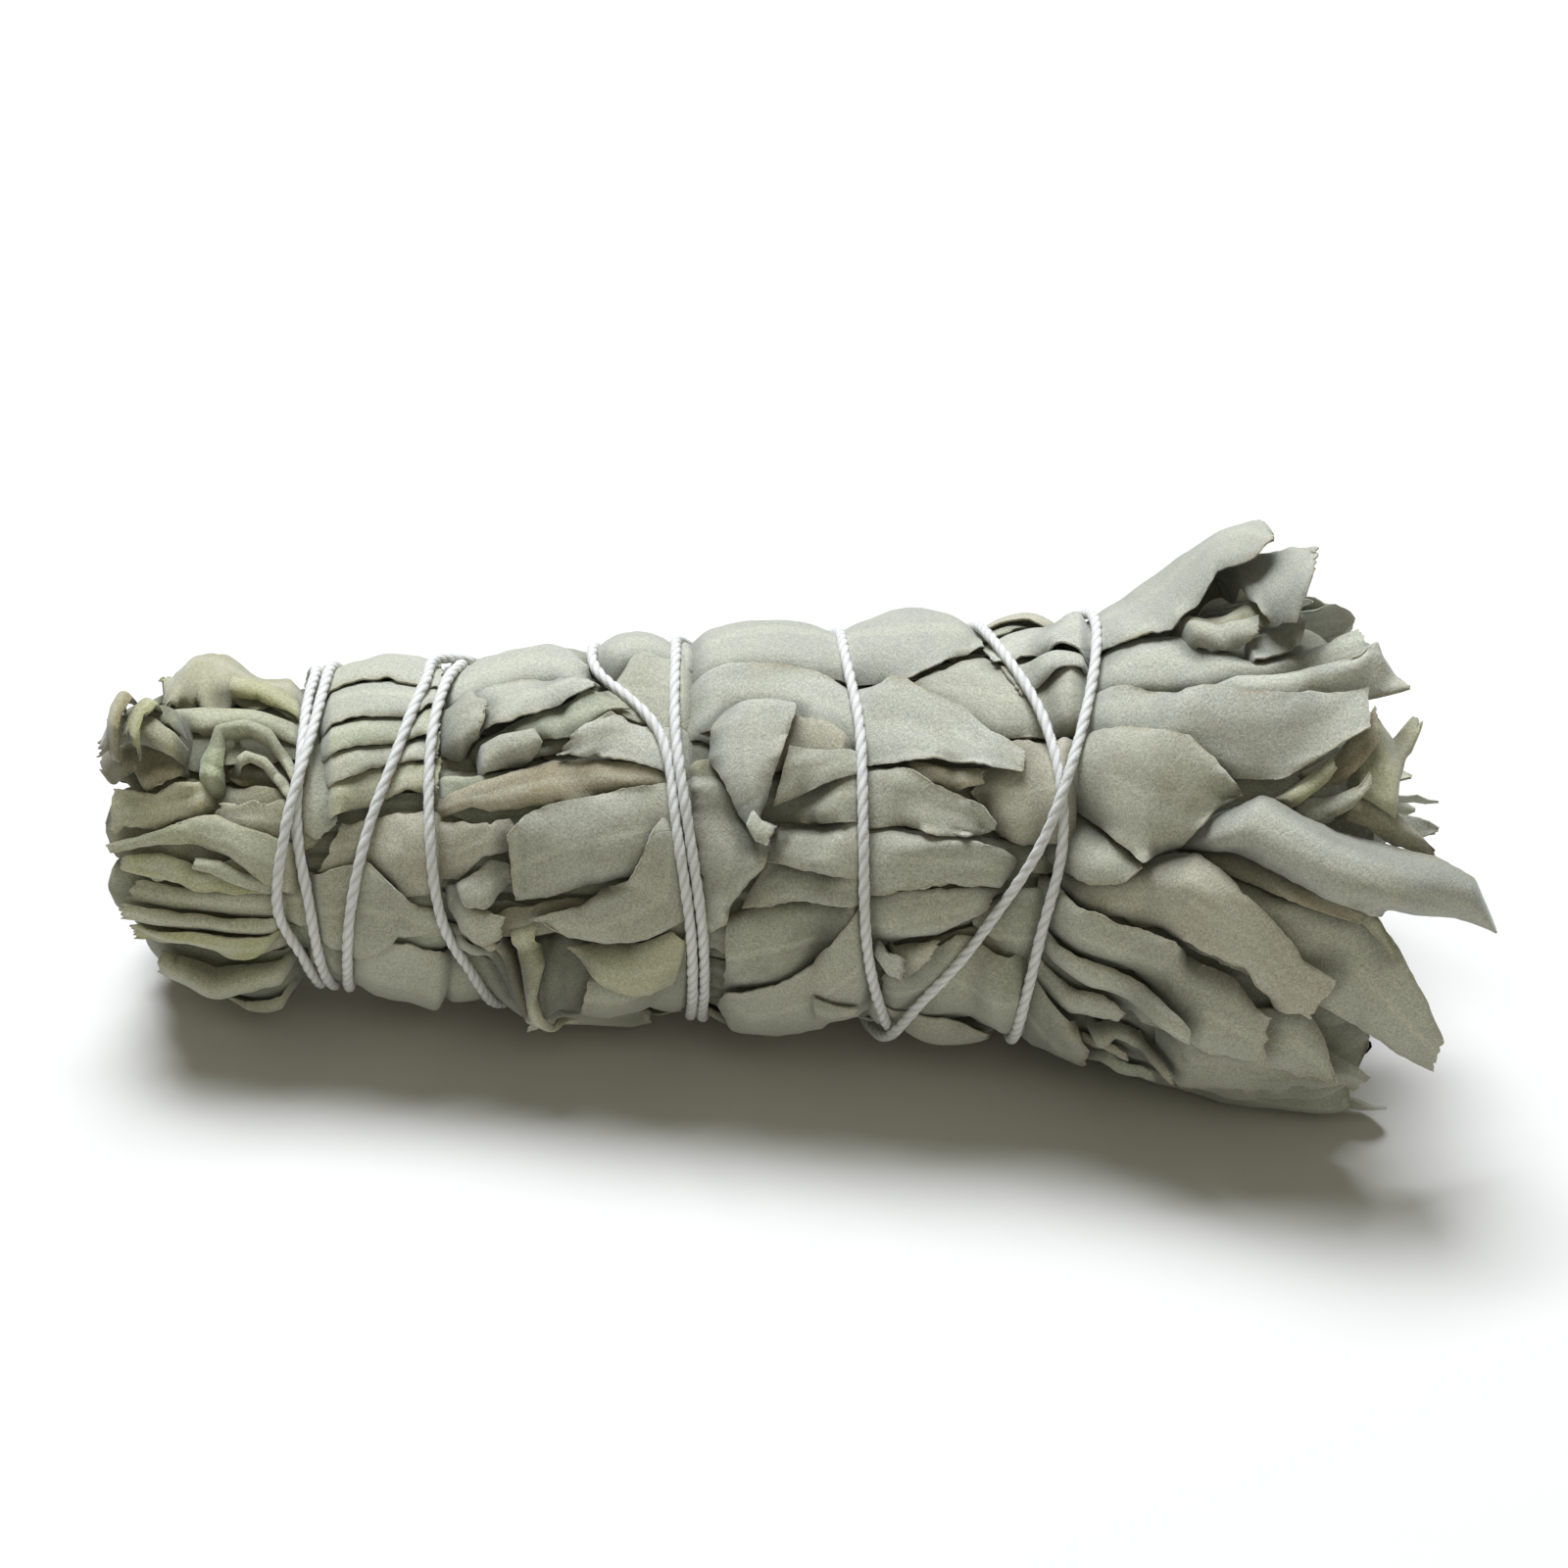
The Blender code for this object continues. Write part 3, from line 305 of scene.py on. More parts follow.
    ("waist_mid", ((884, 770), (840, 785), (762, 790)), ((884, 838), (838, 841), (770, 838)), 0, 0.0, 0.6,
     0.1, "dark", 0.2),
    ("waist_mid", ((870, 745), (840, 728), (770, 720)), ((868, 774), (840, 776), (765, 790)), 0, 0.2, 0.1,
     0.1, "beige", 0.3),
    ("waist_mid", ((884, 757), (845, 762), (806, 760)), ((884, 783), (840, 799), (788, 822)), 0, 0.1, 0.7,
     0.2, "sage", 0.1),
    ("waist_ragged", ((700, 778), (702, 830), (707, 880), (710, 930), (715, 965)), ((748, 780), (772, 835),
     (794, 852), (784, 876), (768, 905), (745, 932), (742, 946), (724, 962)), 0, 0.1, 0.6, 0.2, "sage",
     0.5),
    ("waist_hanging", ((750, 706), (724, 742), (722, 770), (736, 795), (754, 832), (779, 863)), ((803, 704),
     (814, 724), (806, 750), (792, 785), (783, 812), (771, 840)), 0, 0.6, 0.7, 0.4, "pale", 0.15),
    ("waist_hanging", ((768, 826), (778, 838), (793, 842)), ((762, 842), (772, 858), (784, 862)), 0, 0.3,
     0.3, 0.6, "sage", 0.2),
    ("side_wedge", ((440, 990), (520, 1012), (600, 1030), (664, 1056)), ((440, 1046), (520, 1052),
     (600, 1070), (640, 1064), (665, 1072)), 0, 0.3, 0.3, 0.2, "sage", 0.5),
    ("side_wedge", ((465, 958), (500, 985), (540, 1015), (560, 1030)), ((458, 970), (495, 1000),
     (530, 1030), (555, 1040)), 0, 0.1, 0.1, 0.6, "dark", 0.3),
    ("side_wedge", ((490, 950), (520, 985), (545, 1020)), ((480, 958), (512, 995), (540, 1028)), 0, 0.1,
     0.1, 0.6, "brown", 0.3),
    ("side_wedge", ((664, 975), (600, 968), (540, 975)), ((664, 1050), (600, 1044), (535, 1030)), 0, 0.1,
     0.1, 0.2, "sage", 0.8),
    ("side_wedge", ((712, 960), (650, 990), (600, 1000)), ((706, 1056), (650, 1050), (590, 1030)), 0, 0.2,
     0.2, 0.1, "dark", 0.3),
    ("side_wedge", ((708, 976), (685, 960), (640, 972), (576, 977)), ((694, 1016), (664, 1015), (640, 1008),
     (598, 994)), 0, 0.2, 0.6, 0.2, "yellow", 0.2),
    ("side_wedge", ((518, 950), (526, 985), (545, 1014), (582, 1037)), ((548, 942), (545, 965), (557, 983),
     (548, 1000), (564, 1024), (592, 1034)), 0, 0.3, 0.4, 0.3, "yellow", 0.3),
    ("side_wedge", ((450, 910), (466, 907), (482, 928), (516, 937)), ((452, 932), (470, 956), (492, 967),
     (512, 959)), 0, 0.5, 0.4, 0.2, "sage", 0.3),
    ("side_upper", ((710, 632), (650, 636), (598, 650)), ((710, 670), (660, 673), (618, 677)), 0, 0.2, 0.5,
     0.3, "pale", 0.3),
    ("side_upper", ((440, 660), (500, 655), (560, 650), (604, 662)), ((448, 702), (490, 700), (540, 684),
     (602, 680)), 0, 0.2, 0.5, 0.4, "pale", 0.3),
    ("side_upper", ((706, 655), (650, 664), (610, 690)), ((706, 740), (660, 733), (620, 717), (596, 704)),
     0, 0.3, 0.5, 0.2, "sage", 0.3),
    ("side_upper", ((470, 755), (545, 718), (605, 702), (645, 716)), ((480, 768), (545, 752), (590, 750),
     (614, 724)), 0, 0.2, 0.4, 0.3, "green", 0.3),
    ("side_upper", ((465, 702), (530, 684), (590, 680), (614, 690)), ((465, 745), (520, 738), (570, 722),
     (607, 706)), 0, 0.2, 0.6, 0.4, "pale", 0.2),
    ("side_upper", ((442, 702), (480, 698), (500, 722)), ((444, 764), (470, 768), (494, 744)), 0, 0.1, 0.2,
     0.3, "sage", 0.4),
    ("side_upper", ((440, 785), (480, 788), (548, 768)), ((440, 815), (480, 816), (556, 790)), 0, 0.2, 0.2,
     0.2, "green", 0.3),
    ("side_upper", ((484, 758), (510, 748), (545, 743), (553, 756)), ((488, 790), (512, 780), (540, 771),
     (552, 760)), 0, 0.0, 0.2, 0.9, "sage", 0.1),
    ("side_broad", ((440, 812), (480, 800), (530, 780), (562, 766), (620, 770), (696, 780)), ((440, 836),
     (480, 822), (500, 828), (560, 820), (620, 808), (696, 797)), 0, 0.1, 0.2, 0.2, "brown", 0.3),
    ("side_broad", ((706, 730), (660, 730), (625, 724), (604, 734), (586, 750)), ((706, 790), (680, 785),
     (640, 774), (600, 774), (562, 769)), 0, 0.2, 0.7, 0.3, "pale", 0.5),
    ("side_broad", ((430, 834), (480, 836), (520, 834), (528, 846)), ((430, 908), (465, 906), (490, 880),
     (524, 868)), 0, 0.2, 0.4, 0.3, "beige", 0.4),
    ("side_broad", ((462, 908), (495, 880), (519, 884)), ((470, 928), (500, 930), (523, 903)), 0, 0.2, 0.4,
     0.2, "sage", 0.4),
    ("side_broad", ((706, 784), (660, 797), (620, 806), (562, 818), (535, 830), (517, 852)), ((706, 866),
     (655, 897), (600, 911), (560, 924), (524, 928)), 0, 0.8, 0.5, 0.3, "sage", 0.12),
    ("side_wedge", ((683, 822), (665, 845), (655, 872), (640, 900), (612, 915), (590, 930), (538, 941)),
     ((694, 846), (704, 900), (708, 948), (660, 962), (620, 971), (580, 966), (554, 946)), 0, 0.9, 0.6, 0.2,
     "sage", 0.15),
    ("neck_low", ((326, 930), (350, 960), (368, 1000)), ((310, 1005), (330, 1038), (362, 1042)), 0, 0.3,
     0.2, 0.2, "dark", 0.4),
    ("neck_low", ((460, 995), (420, 967), (395, 964), (360, 984)), ((455, 1046), (420, 1048), (395, 1050),
     (356, 1024)), 0, 0.4, 0.3, 0.3, "sage", 0.3),
    ("neck_broad", ((450, 824), (400, 827), (346, 838)), ((452, 922), (412, 922), (375, 886), (320, 898)),
     0, 0.5, 0.2, 0.4, "beige", 0.3),
    ("neck_wedge", ((308, 905), (335, 889), (372, 880), (400, 904), (425, 930), (452, 944)), ((318, 967),
     (357, 988), (385, 976), (405, 960), (452, 968)), 0, 0.5, 0.5, 0.3, "sage", 0.2),
    ("neck_upper", ((316, 740), (331, 746), (333, 790), (345, 837)), ((310, 745), (306, 800), (304, 850),
     (322, 860)), 0, 0.4, 0.2, 0.2, "pale", 0.2),
    ("neck_upper", ((328, 790), (362, 776), (400, 766), (450, 762)), ((330, 838), (370, 822), (400, 808),
     (446, 806)), 0, 0.0, 0.1, 0.3, "yellow", 0.4),
    ("neck_upper", ((326, 760), (362, 748), (405, 742), (450, 736)), ((330, 806), (360, 792), (395, 774),
     (446, 766)), 0, 0.0, 0.1, 0.3, "sage", 0.4),
    ("neck_top", ((326, 728), (375, 716), (452, 702)), ((328, 776), (365, 762), (405, 750), (448, 738)), 0,
     0.0, 0.0, 0.3, "green", 0.4),
    ("neck_top", ((326, 676), (400, 676), (452, 674)), ((326, 742), (360, 734), (405, 724), (448, 708)), 0,
     0.0, 0.1, 0.3, "pale", 0.3),
    ("neck_top", ((318, 642), (345, 636), (400, 634), (452, 648)), ((322, 694), (365, 690), (400, 688),
     (452, 688)), 0, 0.0, 0.2, 0.6, "pale", 0.2),
    ("foot_low_2", ((310, 985), (240, 985), (190, 975), (132, 962)), ((310, 1046), (260, 1042), (200, 1034),
     (150, 1022), (134, 990)), 0, 0.2, 0.2, 0.3, "sage", 0.6),
    ("foot_low_2", ((300, 966), (220, 970), (135, 962)), ((300, 986), (220, 990), (140, 980)), 0, 0.1, 0.1,
     0.6, "beige", 0.4),
    ("foot_low_2", ((300, 990), (220, 994), (160, 982)), ((300, 1003), (220, 1010), (160, 1000)), 0, 0.1,
     0.1, 0.7, "sage", 0.4),
    ("foot_low_2", ((300, 1008), (220, 1016), (170, 1008)), ((300, 1020), (220, 1028), (168, 1022)), 0, 0.1,
     0.1, 0.7, "sage", 0.4),
    ("foot_low_1", ((300, 920), (250, 915), (200, 912), (136, 902)), ((300, 950), (250, 946), (200, 940),
     (122, 928)), 0, 0.2, 0.2, 0.5, "sage", 0.4),
    ("foot_low_1", ((296, 945), (240, 942), (190, 936), (120, 924)), ((292, 968), (240, 964), (190, 958),
     (120, 948)), 0, 0.2, 0.2, 0.7, "sage", 0.4),
    ("foot_low_1", ((290, 962), (240, 958), (190, 950), (128, 955)), ((282, 976), (255, 986), (228, 989),
     (190, 976), (134, 968)), 0, 0.3, 0.5, 0.4, "yellow", 0.3),
    ("foot_mid", ((302, 900), (260, 890), (235, 878), (200, 884), (165, 870), (124, 874)), ((296, 922),
     (250, 917), (200, 914), (150, 902), (116, 892)), 0, 0.2, 0.2, 0.5, "yellow", 0.4),
    ("foot_mid", ((292, 910), (250, 893), (225, 878), (198, 876)), ((288, 922), (245, 905), (215, 890),
     (196, 886)), 0, 0.0, 0.1, 0.9, "pale", 0.2),
    ("foot_broad", ((300, 812), (260, 812), (222, 818)), ((302, 862), (260, 856), (214, 838)), 0, 0.3, 0.2,
     0.3, "beige", 0.4),
    ("foot_broad", ((216, 788), (185, 797), (160, 806), (114, 800)), ((216, 828), (180, 840), (140, 852),
     (106, 854)), 0, 0.4, 0.3, 0.4, "beige", 0.6),
    ("foot_broad", ((310, 868), (285, 855), (250, 843), (220, 831), (200, 832), (165, 846), (130, 856),
     (104, 864)), ((308, 930), (270, 904), (235, 876), (200, 862), (160, 862), (110, 873)), 0, 0.3, 0.3,
     0.8, "sage", 0.25),
    ("foot_top", ((312, 650), (260, 655), (200, 645), (170, 660), (160, 690)), ((312, 722), (260, 718),
     (205, 712), (180, 706), (164, 703)), 0, 0.1, 0.2, 0.0, "beige", 0.7),
    ("foot_top", ((308, 704), (270, 698), (235, 698)), ((308, 720), (262, 714), (233, 710)), 0, 0.0, 0.1,
     0.7, "yellow", 0.3),
    ("foot_upper", ((312, 726), (260, 721), (222, 721), (162, 719)), ((312, 750), (255, 744), (215, 749),
     (190, 745), (162, 731)), 0, 0.1, 0.1, 0.9, "sage", 0.3),
    ("foot_crumpled", ((196, 738), (165, 722), (130, 722), (96, 724)), ((192, 792), (165, 806), (130, 806),
     (96, 782)), 0, 0.2, 0.2, 0.2, "brown", 0.9),
    ("foot_crumpled", ((190, 740), (150, 728), (108, 730)), ((190, 760), (150, 756), (104, 752)), 0, 0.2,
     0.4, 0.6, "sage", 0.9),
    ("foot_crumpled", ((192, 764), (160, 752), (130, 748), (100, 758)), ((188, 782), (160, 776), (128, 770),
     (98, 774)), 0, 0.4, 0.3, 0.6, "beige", 0.9),
    ("foot_crumpled", ((156, 738), (140, 748), (132, 770)), ((172, 744), (158, 762), (148, 790)), 0, 0.3,
     0.4, 0.5, "yellow", 0.8),
    ("foot_crumpled", ((128, 736), (118, 752), (112, 776)), ((146, 744), (136, 764), (128, 796)), 0, 0.3,
     0.4, 0.5, "brown", 0.9),
    ("foot_crumpled", ((236, 777), (250, 765), (270, 769), (290, 790), (300, 812)), ((240, 784), (255, 775),
     (268, 780), (284, 802), (294, 818)), 0, 0.2, 0.0, 0.7, "sage", 0.2),
    ("foot_crumpled", ((204, 808), (204, 775), (221, 747), (250, 740), (275, 744), (294, 764), (306, 790)),
     ((228, 812), (228, 778), (231, 755), (255, 751), (274, 759), (290, 780), (300, 804)), 0, 0.2, 0.5, 0.7,
     "green", 0.2),
)

# Wider leaves under them, innermost first: root and tip as x in mm and the angle in degrees, width, sideways
# bow, the radius that the tip reaches, curl of the edges, bulge, where it is widest (0 root, 1 tip), how
# blunt the tip is, tone and raggedness
UNDER_LEAVES = (
    ("head_low_2", (14, -52), (43, -50), 15.0, 0.0, 18.8, 0.2, 0.3, 0.6, 0.6, "dark", 0.4),
    ("head_low_1", (14, -25), (44, -30), 14.0, 0.0, 18.0, 0.2, 0.3, 0.6, 0.6, "dark", 0.4),
    ("head_fan_3", (14, 0), (45, -8), 13.0, 0.0, 17.5, 0.2, 0.3, 0.6, 0.6, "dark", 0.4),
    ("head_point", (14, 44), (43, 45), 12.0, 0.0, 14.5, 0.2, 0.3, 0.6, 0.6, "sage", 0.4),
    ("head_back", (14, 86), (41, 86), 12.0, 0.0, 16.5, 0.2, 0.3, 0.6, 0.6, "dark", 0.4),
    ("foot_mid", (-35, 3), (-52.5, 2), 8.0, 0.0, 0.0, 0.2, 0.3, 0.6, 0.8, "sage", 0.5),
    ("foot_broad", (-35, 33), (-52.5, 32), 8.0, 0.0, 0.0, 0.2, 0.3, 0.6, 0.8, "beige", 0.5),
    ("foot_upper", (-35, 72), (-50.5, 74), 9.0, 0.0, 0.0, 0.2, 0.3, 0.6, 0.8, "sage", 0.5),
)

# Rows of leaves on the hidden side: x of their roots and of their tips, first and last angle in degrees,
# number of leaves, width, and the radius that the tips reach
BACK_ROWS = (
    (-35, -51, 145, 300, 3, 11.0, 0.0),
    (-41, -5, 130, 300, 3, 14.0, 0.0),
    (-9, 27, 125, 295, 3, 14.5, 0.0),
    (16, 46, 135, 300, 3, 15.0, 22.3),
)

# The twine: x in mm where each turn passes 120, 90, 60, 30, 0, -30 and -60 degrees in front, then -90 to -210
# in steps of 30 degrees behind, in winding order
STRANDS = (
    (-37.6, -37.4, -37.3, -37.4, -36.6, -36.3, -36.1, -36.9, -36.6, -35.6, -33.0, -29.6),
    (-26.1, -26.7, -27.3, -27.2, -26.6, -24.8, -23.3, -21.4, -20.2, -19.0, -17.8, -16.6),
    (-15.6, -15.0, -9.8, -8.4, -7.5, -7.6, -8.1, -8.4, -8.3, -5.5, -2.6, 0.4),
    (3.2, 4.1, 5.3, 5.6, 5.8, 6.8, 8.0, 9.0, 10.0, 11.0, 12.0, 13.0),
    (14.0, 15.9, 19.2, 20.5, 18.8, 17.4, 16.9, 17.4, 18.4, 19.4, 20.4, 21.4),
    (22.3, 23.3, 22.2, 19.3, 14.4, 9.4, 6.4, 4.6, 2.0, -0.8, -3.6, -6.4),
    (-8.9, -8.9, -8.6, -7.5, -6.6, -6.7, -7.2, -6.7, -7.2, -11.5, -17.0, -22.4),
    (-27.7, -28.3, -29.8, -32.0, -33.5, -34.3, -34.9, -35.2, -35.2, -35.3, -35.5, -35.8),
    (-36.1, -36.2, -36.7, -38.2, -39.1, -37.6, -37.2),
)
STRAND_TOP = math.radians(120)
STRAND_STEP = math.radians(30)
ROUTE_STEPS = 120
TWINE_STEPS = 144
TWINE_SPACING = 0.36
TWINE_PITCH = 3.6
TWINE_SIDES = 18
PLY_ANGLE = 2 * math.pi / 3

# Where strands cross, as shares of the diameter: how close they touch and how far the later one rises
TOUCHING = 0.95
RISE_OVER = 0.92
TAUT_ROUNDS = 400

# The ends of the twine as angle in degrees and x in mm, and the knot that holds them behind
FIRST_END = ((231, -38.6), (215, -39.6), (200, -40.3), (160, -39.4), (140, -38.6))
LAST_END = ((-80, -38.4), (-100, -39.8), (-120, -41.0), (-140, -41.8), (-146, -41.9))
TAIL = ((-176, -43.0), (-184, -44.4), (-192, -45.6))
KNOT_ANGLE = math.radians(200)
KNOT_SPREAD = math.radians(7)
KNOT_TURNS = 2

# Camera: it looks down at the stick from in front, turned so that the stick lies level in the picture
CAMERA_LENS = 100
CAMERA_SENSOR = 36
CAMERA_HEIGHT = math.radians(30)
CAMERA_ROLL = math.radians(2.73)
PICTURE_WIDTH = 122.8
PICTURE_MIDDLE = (-0.79, 1.90, 20.42)
PICTURE_PIXELS = 1600
PIXEL = PICTURE_WIDTH / PICTURE_PIXELS

# Past this share of the radius a traced point counts as lying round the bundle's outline
OUTLINE_SHARE = 0.95

# Lights: place and size in metres, watts and colour. The surroundings have a colour and a strength
KEY_LIGHT = ((-0.15, 0.3, 0.9), 0.5, 15.8, (0.875, 0.915, 1.0))
FRONT_LIGHT = ((0.3, -0.9, 0.7), 0.8, 1.95, (0.98, 0.96, 0.78))
SURROUNDINGS = ((0.98, 0.98, 0.78, 1), 0.13)
FLOOR_SIZE = 4

# Colours in the materials, as linear red, green and blue, most with their opacity
FADED = (0.46, 0.46, 0.36, 1)
STAINED = (0.36, 0.33, 0.23, 1)
VEINS = (0.60, 0.60, 0.50, 1)
RIB = (0.55, 0.55, 0.42, 1)
DRY_EDGE = (0.30, 0.25, 0.15, 1)
UNDER_SIDE = (0.52, 0.53, 0.46, 1)
# Painted shade: the near-black that the gaps between leaves are darkened towards
GAP_SHADE_COLOUR = (0.035, 0.037, 0.022, 1)
SHEEN = (0.95, 0.98, 1.0, 1)
TWINE_TONE = (0.8, 0.8, 0.76)
COTTON = (0.78, 0.78, 0.76, 1)
# Painted shade in the grooves between the twine's plies
PLY_GROOVE_SHADE = (0.50, 0.49, 0.44, 1)
SOILED = (0.56, 0.54, 0.45, 1)
FIBRE = (0.54, 0.53, 0.47, 1)
FLOOR_TINTS = ((0.68, 0.665, 0.63, 1), (0.71, 0.695, 0.66, 1))


def girth(x):
    """Outer radius of the tied bundle, before it settles on the surface."""
    places, radii = zip(*GIRTH)
    return np.interp(x, places, radii)


def heart_radius(x):
    """Outer radius of the middle sprig's pressed part."""
    return HEART_SHARE * girth(x)


def settled(x, angle, radius):
    """Radius after the bundle has settled: its underside is flat, and what lies there keeps its thickness."""
    room = AXIS_PLACE[2] + AXIS_RISE * x - np.interp(x, HEAD_REST, (LEAF_ROOM, 0))
    share = room / np.maximum(-np.sin(angle), 0.02) / girth(x)
    flattened = girth(x) * (1 - (1 + share**-FLATTENING) ** (-1 / FLATTENING))
    return radius - flattened * np.minimum(1, radius / (SOFT_SHARE * girth(x)))


def to_world(x, angle, radius):
    """Bundle places in mm to world places in metres. The last axis holds x, y and z."""
    x, angle, radius = np.broadcast_arrays(x, angle, radius)
    radius = settled(x, angle, radius)
    tilt = math.atan(AXIS_RISE)
    across = -radius * np.cos(angle)
    up = radius * np.sin(angle)
    along = x * math.cos(tilt) - up * math.sin(tilt)
    height = x * math.sin(tilt) + up * math.cos(tilt)
    return (np.stack([along, across, height], axis=-1) + AXIS_PLACE) * MM


def smooth_run(angles, places, wanted):
    """A smooth curve through places at falling angles, read at the wanted angles."""
    slopes = np.gradient(places, angles)
    index = np.clip(np.searchsorted(-angles, -wanted) - 1, 0, len(angles) - 2)
    span = angles[index + 1] - angles[index]
    t = (wanted - angles[index]) / span
    first, last = places[index], places[index + 1]
    first_slope, last_slope = slopes[index] * span, slopes[index + 1] * span
    return (
        (2 * t**3 - 3 * t**2 + 1) * first
        + (t**3 - 2 * t**2 + t) * first_slope
        + (3 * t**2 - 2 * t**3) * last
        + (t**3 - t**2) * last_slope
    )


def twine_route(points):
    """The winding as unwrapped angle and x, with so many points a turn."""
    turns = []
    for n, row in enumerate(STRANDS):
        turns += [(STRAND_TOP - i * STRAND_STEP - 2 * math.pi * n, x) for i, x in enumerate(row)]
    back = 2 * math.pi * (len(STRANDS) - 1)
    turns = [(math.radians(angle), x) for angle, x in FIRST_END] + turns
    turns += [(math.radians(angle) - back, x) for angle, x in LAST_END]
    angles, places = map(np.array, zip(*turns))
    wanted = np.arange(angles[0], angles[-1], -2 * math.pi / points)
    return wanted, smooth_run(angles, places, wanted)


def map_places():
    """x and angle of every cell of the radius map."""
    x = MAP_START + np.arange(MAP_LENGTH) * MAP_STEP
    angle = np.arange(MAP_ROUND) / MAP_ROUND * 2 * math.pi
    return x[:, None], angle[None, :]


def twine_distance():
    """Distance from each cell of the map to the nearest strand of twine."""
    x, angle = map_places()
    nearest = np.full((MAP_LENGTH, MAP_ROUND), FAR)
    for turned, place in zip(*twine_route(ROUTE_STEPS)):
        rows = slice(*np.clip(((place - MAP_START + REACH) / MAP_STEP).astype(int), 0, MAP_LENGTH))
        around = (angle - turned + math.pi) % (2 * math.pi) - math.pi
        nearest[rows] = np.minimum(nearest[rows], np.hypot(x[rows] - place, around * girth(place)))
    return nearest


class Bundle:
    """How far out the bundle reaches so far, its outer layer's depth, and the distance from the twine."""

    def __init__(self, depth, distance):
        self.top = np.zeros((MAP_LENGTH, MAP_ROUND))
        self.depth = depth
        self.distance = distance
        self.press = sum(deep * np.exp(-((distance / wide) ** 2)) for deep, wide in PRESS)
        self.packed = np.ones((MAP_LENGTH, MAP_ROUND))

    def read(self, field, x, angle):
        """Field values between the cells, by straight lines."""
        x, angle = np.broadcast_arrays(x, angle)
        along = np.clip((x - MAP_START) / MAP_STEP, 0, MAP_LENGTH - 1.001)
        around = (angle / (2 * math.pi) * MAP_ROUND) % MAP_ROUND
        i, j = along.astype(int), around.astype(int)
        u, v = along - i, around - j
        j, k = j % MAP_ROUND, (j + 1) % MAP_ROUND
        return (1 - u) * ((1 - v) * field[i, j] + v * field[i, k]) + u * (
            (1 - v) * field[i + 1, j] + v * field[i + 1, k]
        )

    def cells(self, x, angle):
        """Indices of the cells that places lie in."""
        along = np.clip(np.round((x - MAP_START) / MAP_STEP).astype(int), 1, MAP_LENGTH - 2)
        return along, np.round(angle / (2 * math.pi) * MAP_ROUND).astype(int) % MAP_ROUND

    def under(self, x, angle):
        """How far out the bundle reaches so far at these places."""
        return self.top[self.cells(x, angle)]

    def shell(self, x, angle):
        """Outer radius of the pressed stems and inner leaves, under the leaves that show."""
        return girth(x) - self.read(self.depth, x, angle)

    def looseness(self, x, angle):
        """0 right under the twine, 1 well away from it."""
        return 1 - np.exp(-((self.read(self.distance, x, angle) / HELD) ** 2))

    def cover(self, x, angle, radius):
        """Raises each cell that these points touch, and its neighbours, to their radius."""
        along, around = self.cells(x, angle)
        for step in (-1, 0, 1):
            for turn in (-1, 0, 1):
                np.maximum.at(self.top, (along + step, (around + turn) % MAP_ROUND), radius)

    def tied(self, x, angle, radius):
        """Radius once the twine has drawn the loose leaves in to the girth and pressed into them."""
        shell = self.shell(x, angle)
        radius = radius - np.maximum(radius - shell, 0) * (1 - self.read(self.packed, x, angle))
        share = np.clip(radius / girth(x), 0, 1.1) ** 1.5
        return radius - self.read(self.press, x, angle) * share

    def pressed(self, x, angle, radius):
        """World places of points of the tied bundle."""
        return to_world(x, angle, self.tied(x, angle, radius))

    def close(self):
        """Evens out how far out the bundle reaches, over a small and a wide stretch round each place."""
        near = box_most(box_most(self.top, NARROW_CELLS, 0), NARROW_CELLS, 1, "wrap")
        wide = self.top
        for _ in range(2):
            near = box_mean(box_mean(near, NARROW_CELLS, 0, "edge"), NARROW_CELLS, 1, "wrap")
            wide = box_mean(box_mean(wide, BROAD_CELLS, 0, "edge"), BROAD_CELLS, 1, "wrap")
        self.near, self.wide = near, wide

    def painted_gap_shade(self, x, angle, radius):
        """Painted shade for a place that lies deep between the leaves round it, from 0 to 1."""
        narrow = (self.read(self.near, x, angle) - radius - NARROW_GAP[0]) / NARROW_GAP[1]
        broad = (self.read(self.wide, x, angle) - radius - BROAD_GAP[0]) / BROAD_GAP[1]
        return np.clip(np.maximum(narrow, broad), 0, 1) * np.interp(x, *OPEN_ENDS)

    def built(self):
        """Thickness of what lies on the shell, evened over neighbouring cells."""
        x, _ = map_places()
        built = self.top - (girth(x) - self.depth)
        ends = np.searchsorted(x[:, 0], (SHELL_ENDS[0] + 2, SHELL_ENDS[1] - 1))
        built = built[np.clip(np.arange(MAP_LENGTH), *ends)]
        for _ in range(3):
            built = box_mean(built, EVENED_CELLS[0], 0, "edge")
            built = box_mean(built, EVENED_CELLS[1], 1, "wrap")
        return built

    def needed_depth(self):
        """Layer depth that brings the loose leaves out to the girth."""
        return np.clip(self.built(), LEAST_DEPTH, MOST_DEPTH_SHARE * girth(map_places()[0]))

    def pack(self):
        """Finds how far the loose leaves are drawn in to lie within the girth, up to the flared head."""
        start, end = FREE_HEAD
        packed = np.clip((self.depth - UNEVEN) / np.maximum(self.built(), 0.1), MOST_PACKED, 1)
        self.packed = packed + (1 - packed) * np.clip((map_places()[0] - start) / (end - start), 0, 1)


def box_mean(values, reach, axis, mode):
    """Mean over so many cells either way along one axis."""
    pad = [(reach + 1, reach) if i == axis else (0, 0) for i in (0, 1)]
    total = np.cumsum(np.pad(values, pad, mode=mode), axis=axis)
    count = 2 * reach + 1
    after = np.take(total, range(count, total.shape[axis]), axis)
    before = np.take(total, range(values.shape[axis]), axis)
    return (after - before) / count


def box_most(values, reach, axis, mode="edge"):
    """Largest value within so many cells either way along one axis."""
    pad = [(reach, reach) if i == axis else (0, 0) for i in (0, 1)]
    padded = np.pad(values, pad, mode=mode)
    steps = [np.take(padded, range(n, n + values.shape[axis]), axis) for n in range(2 * reach + 1)]
    return np.maximum.reduce(steps)


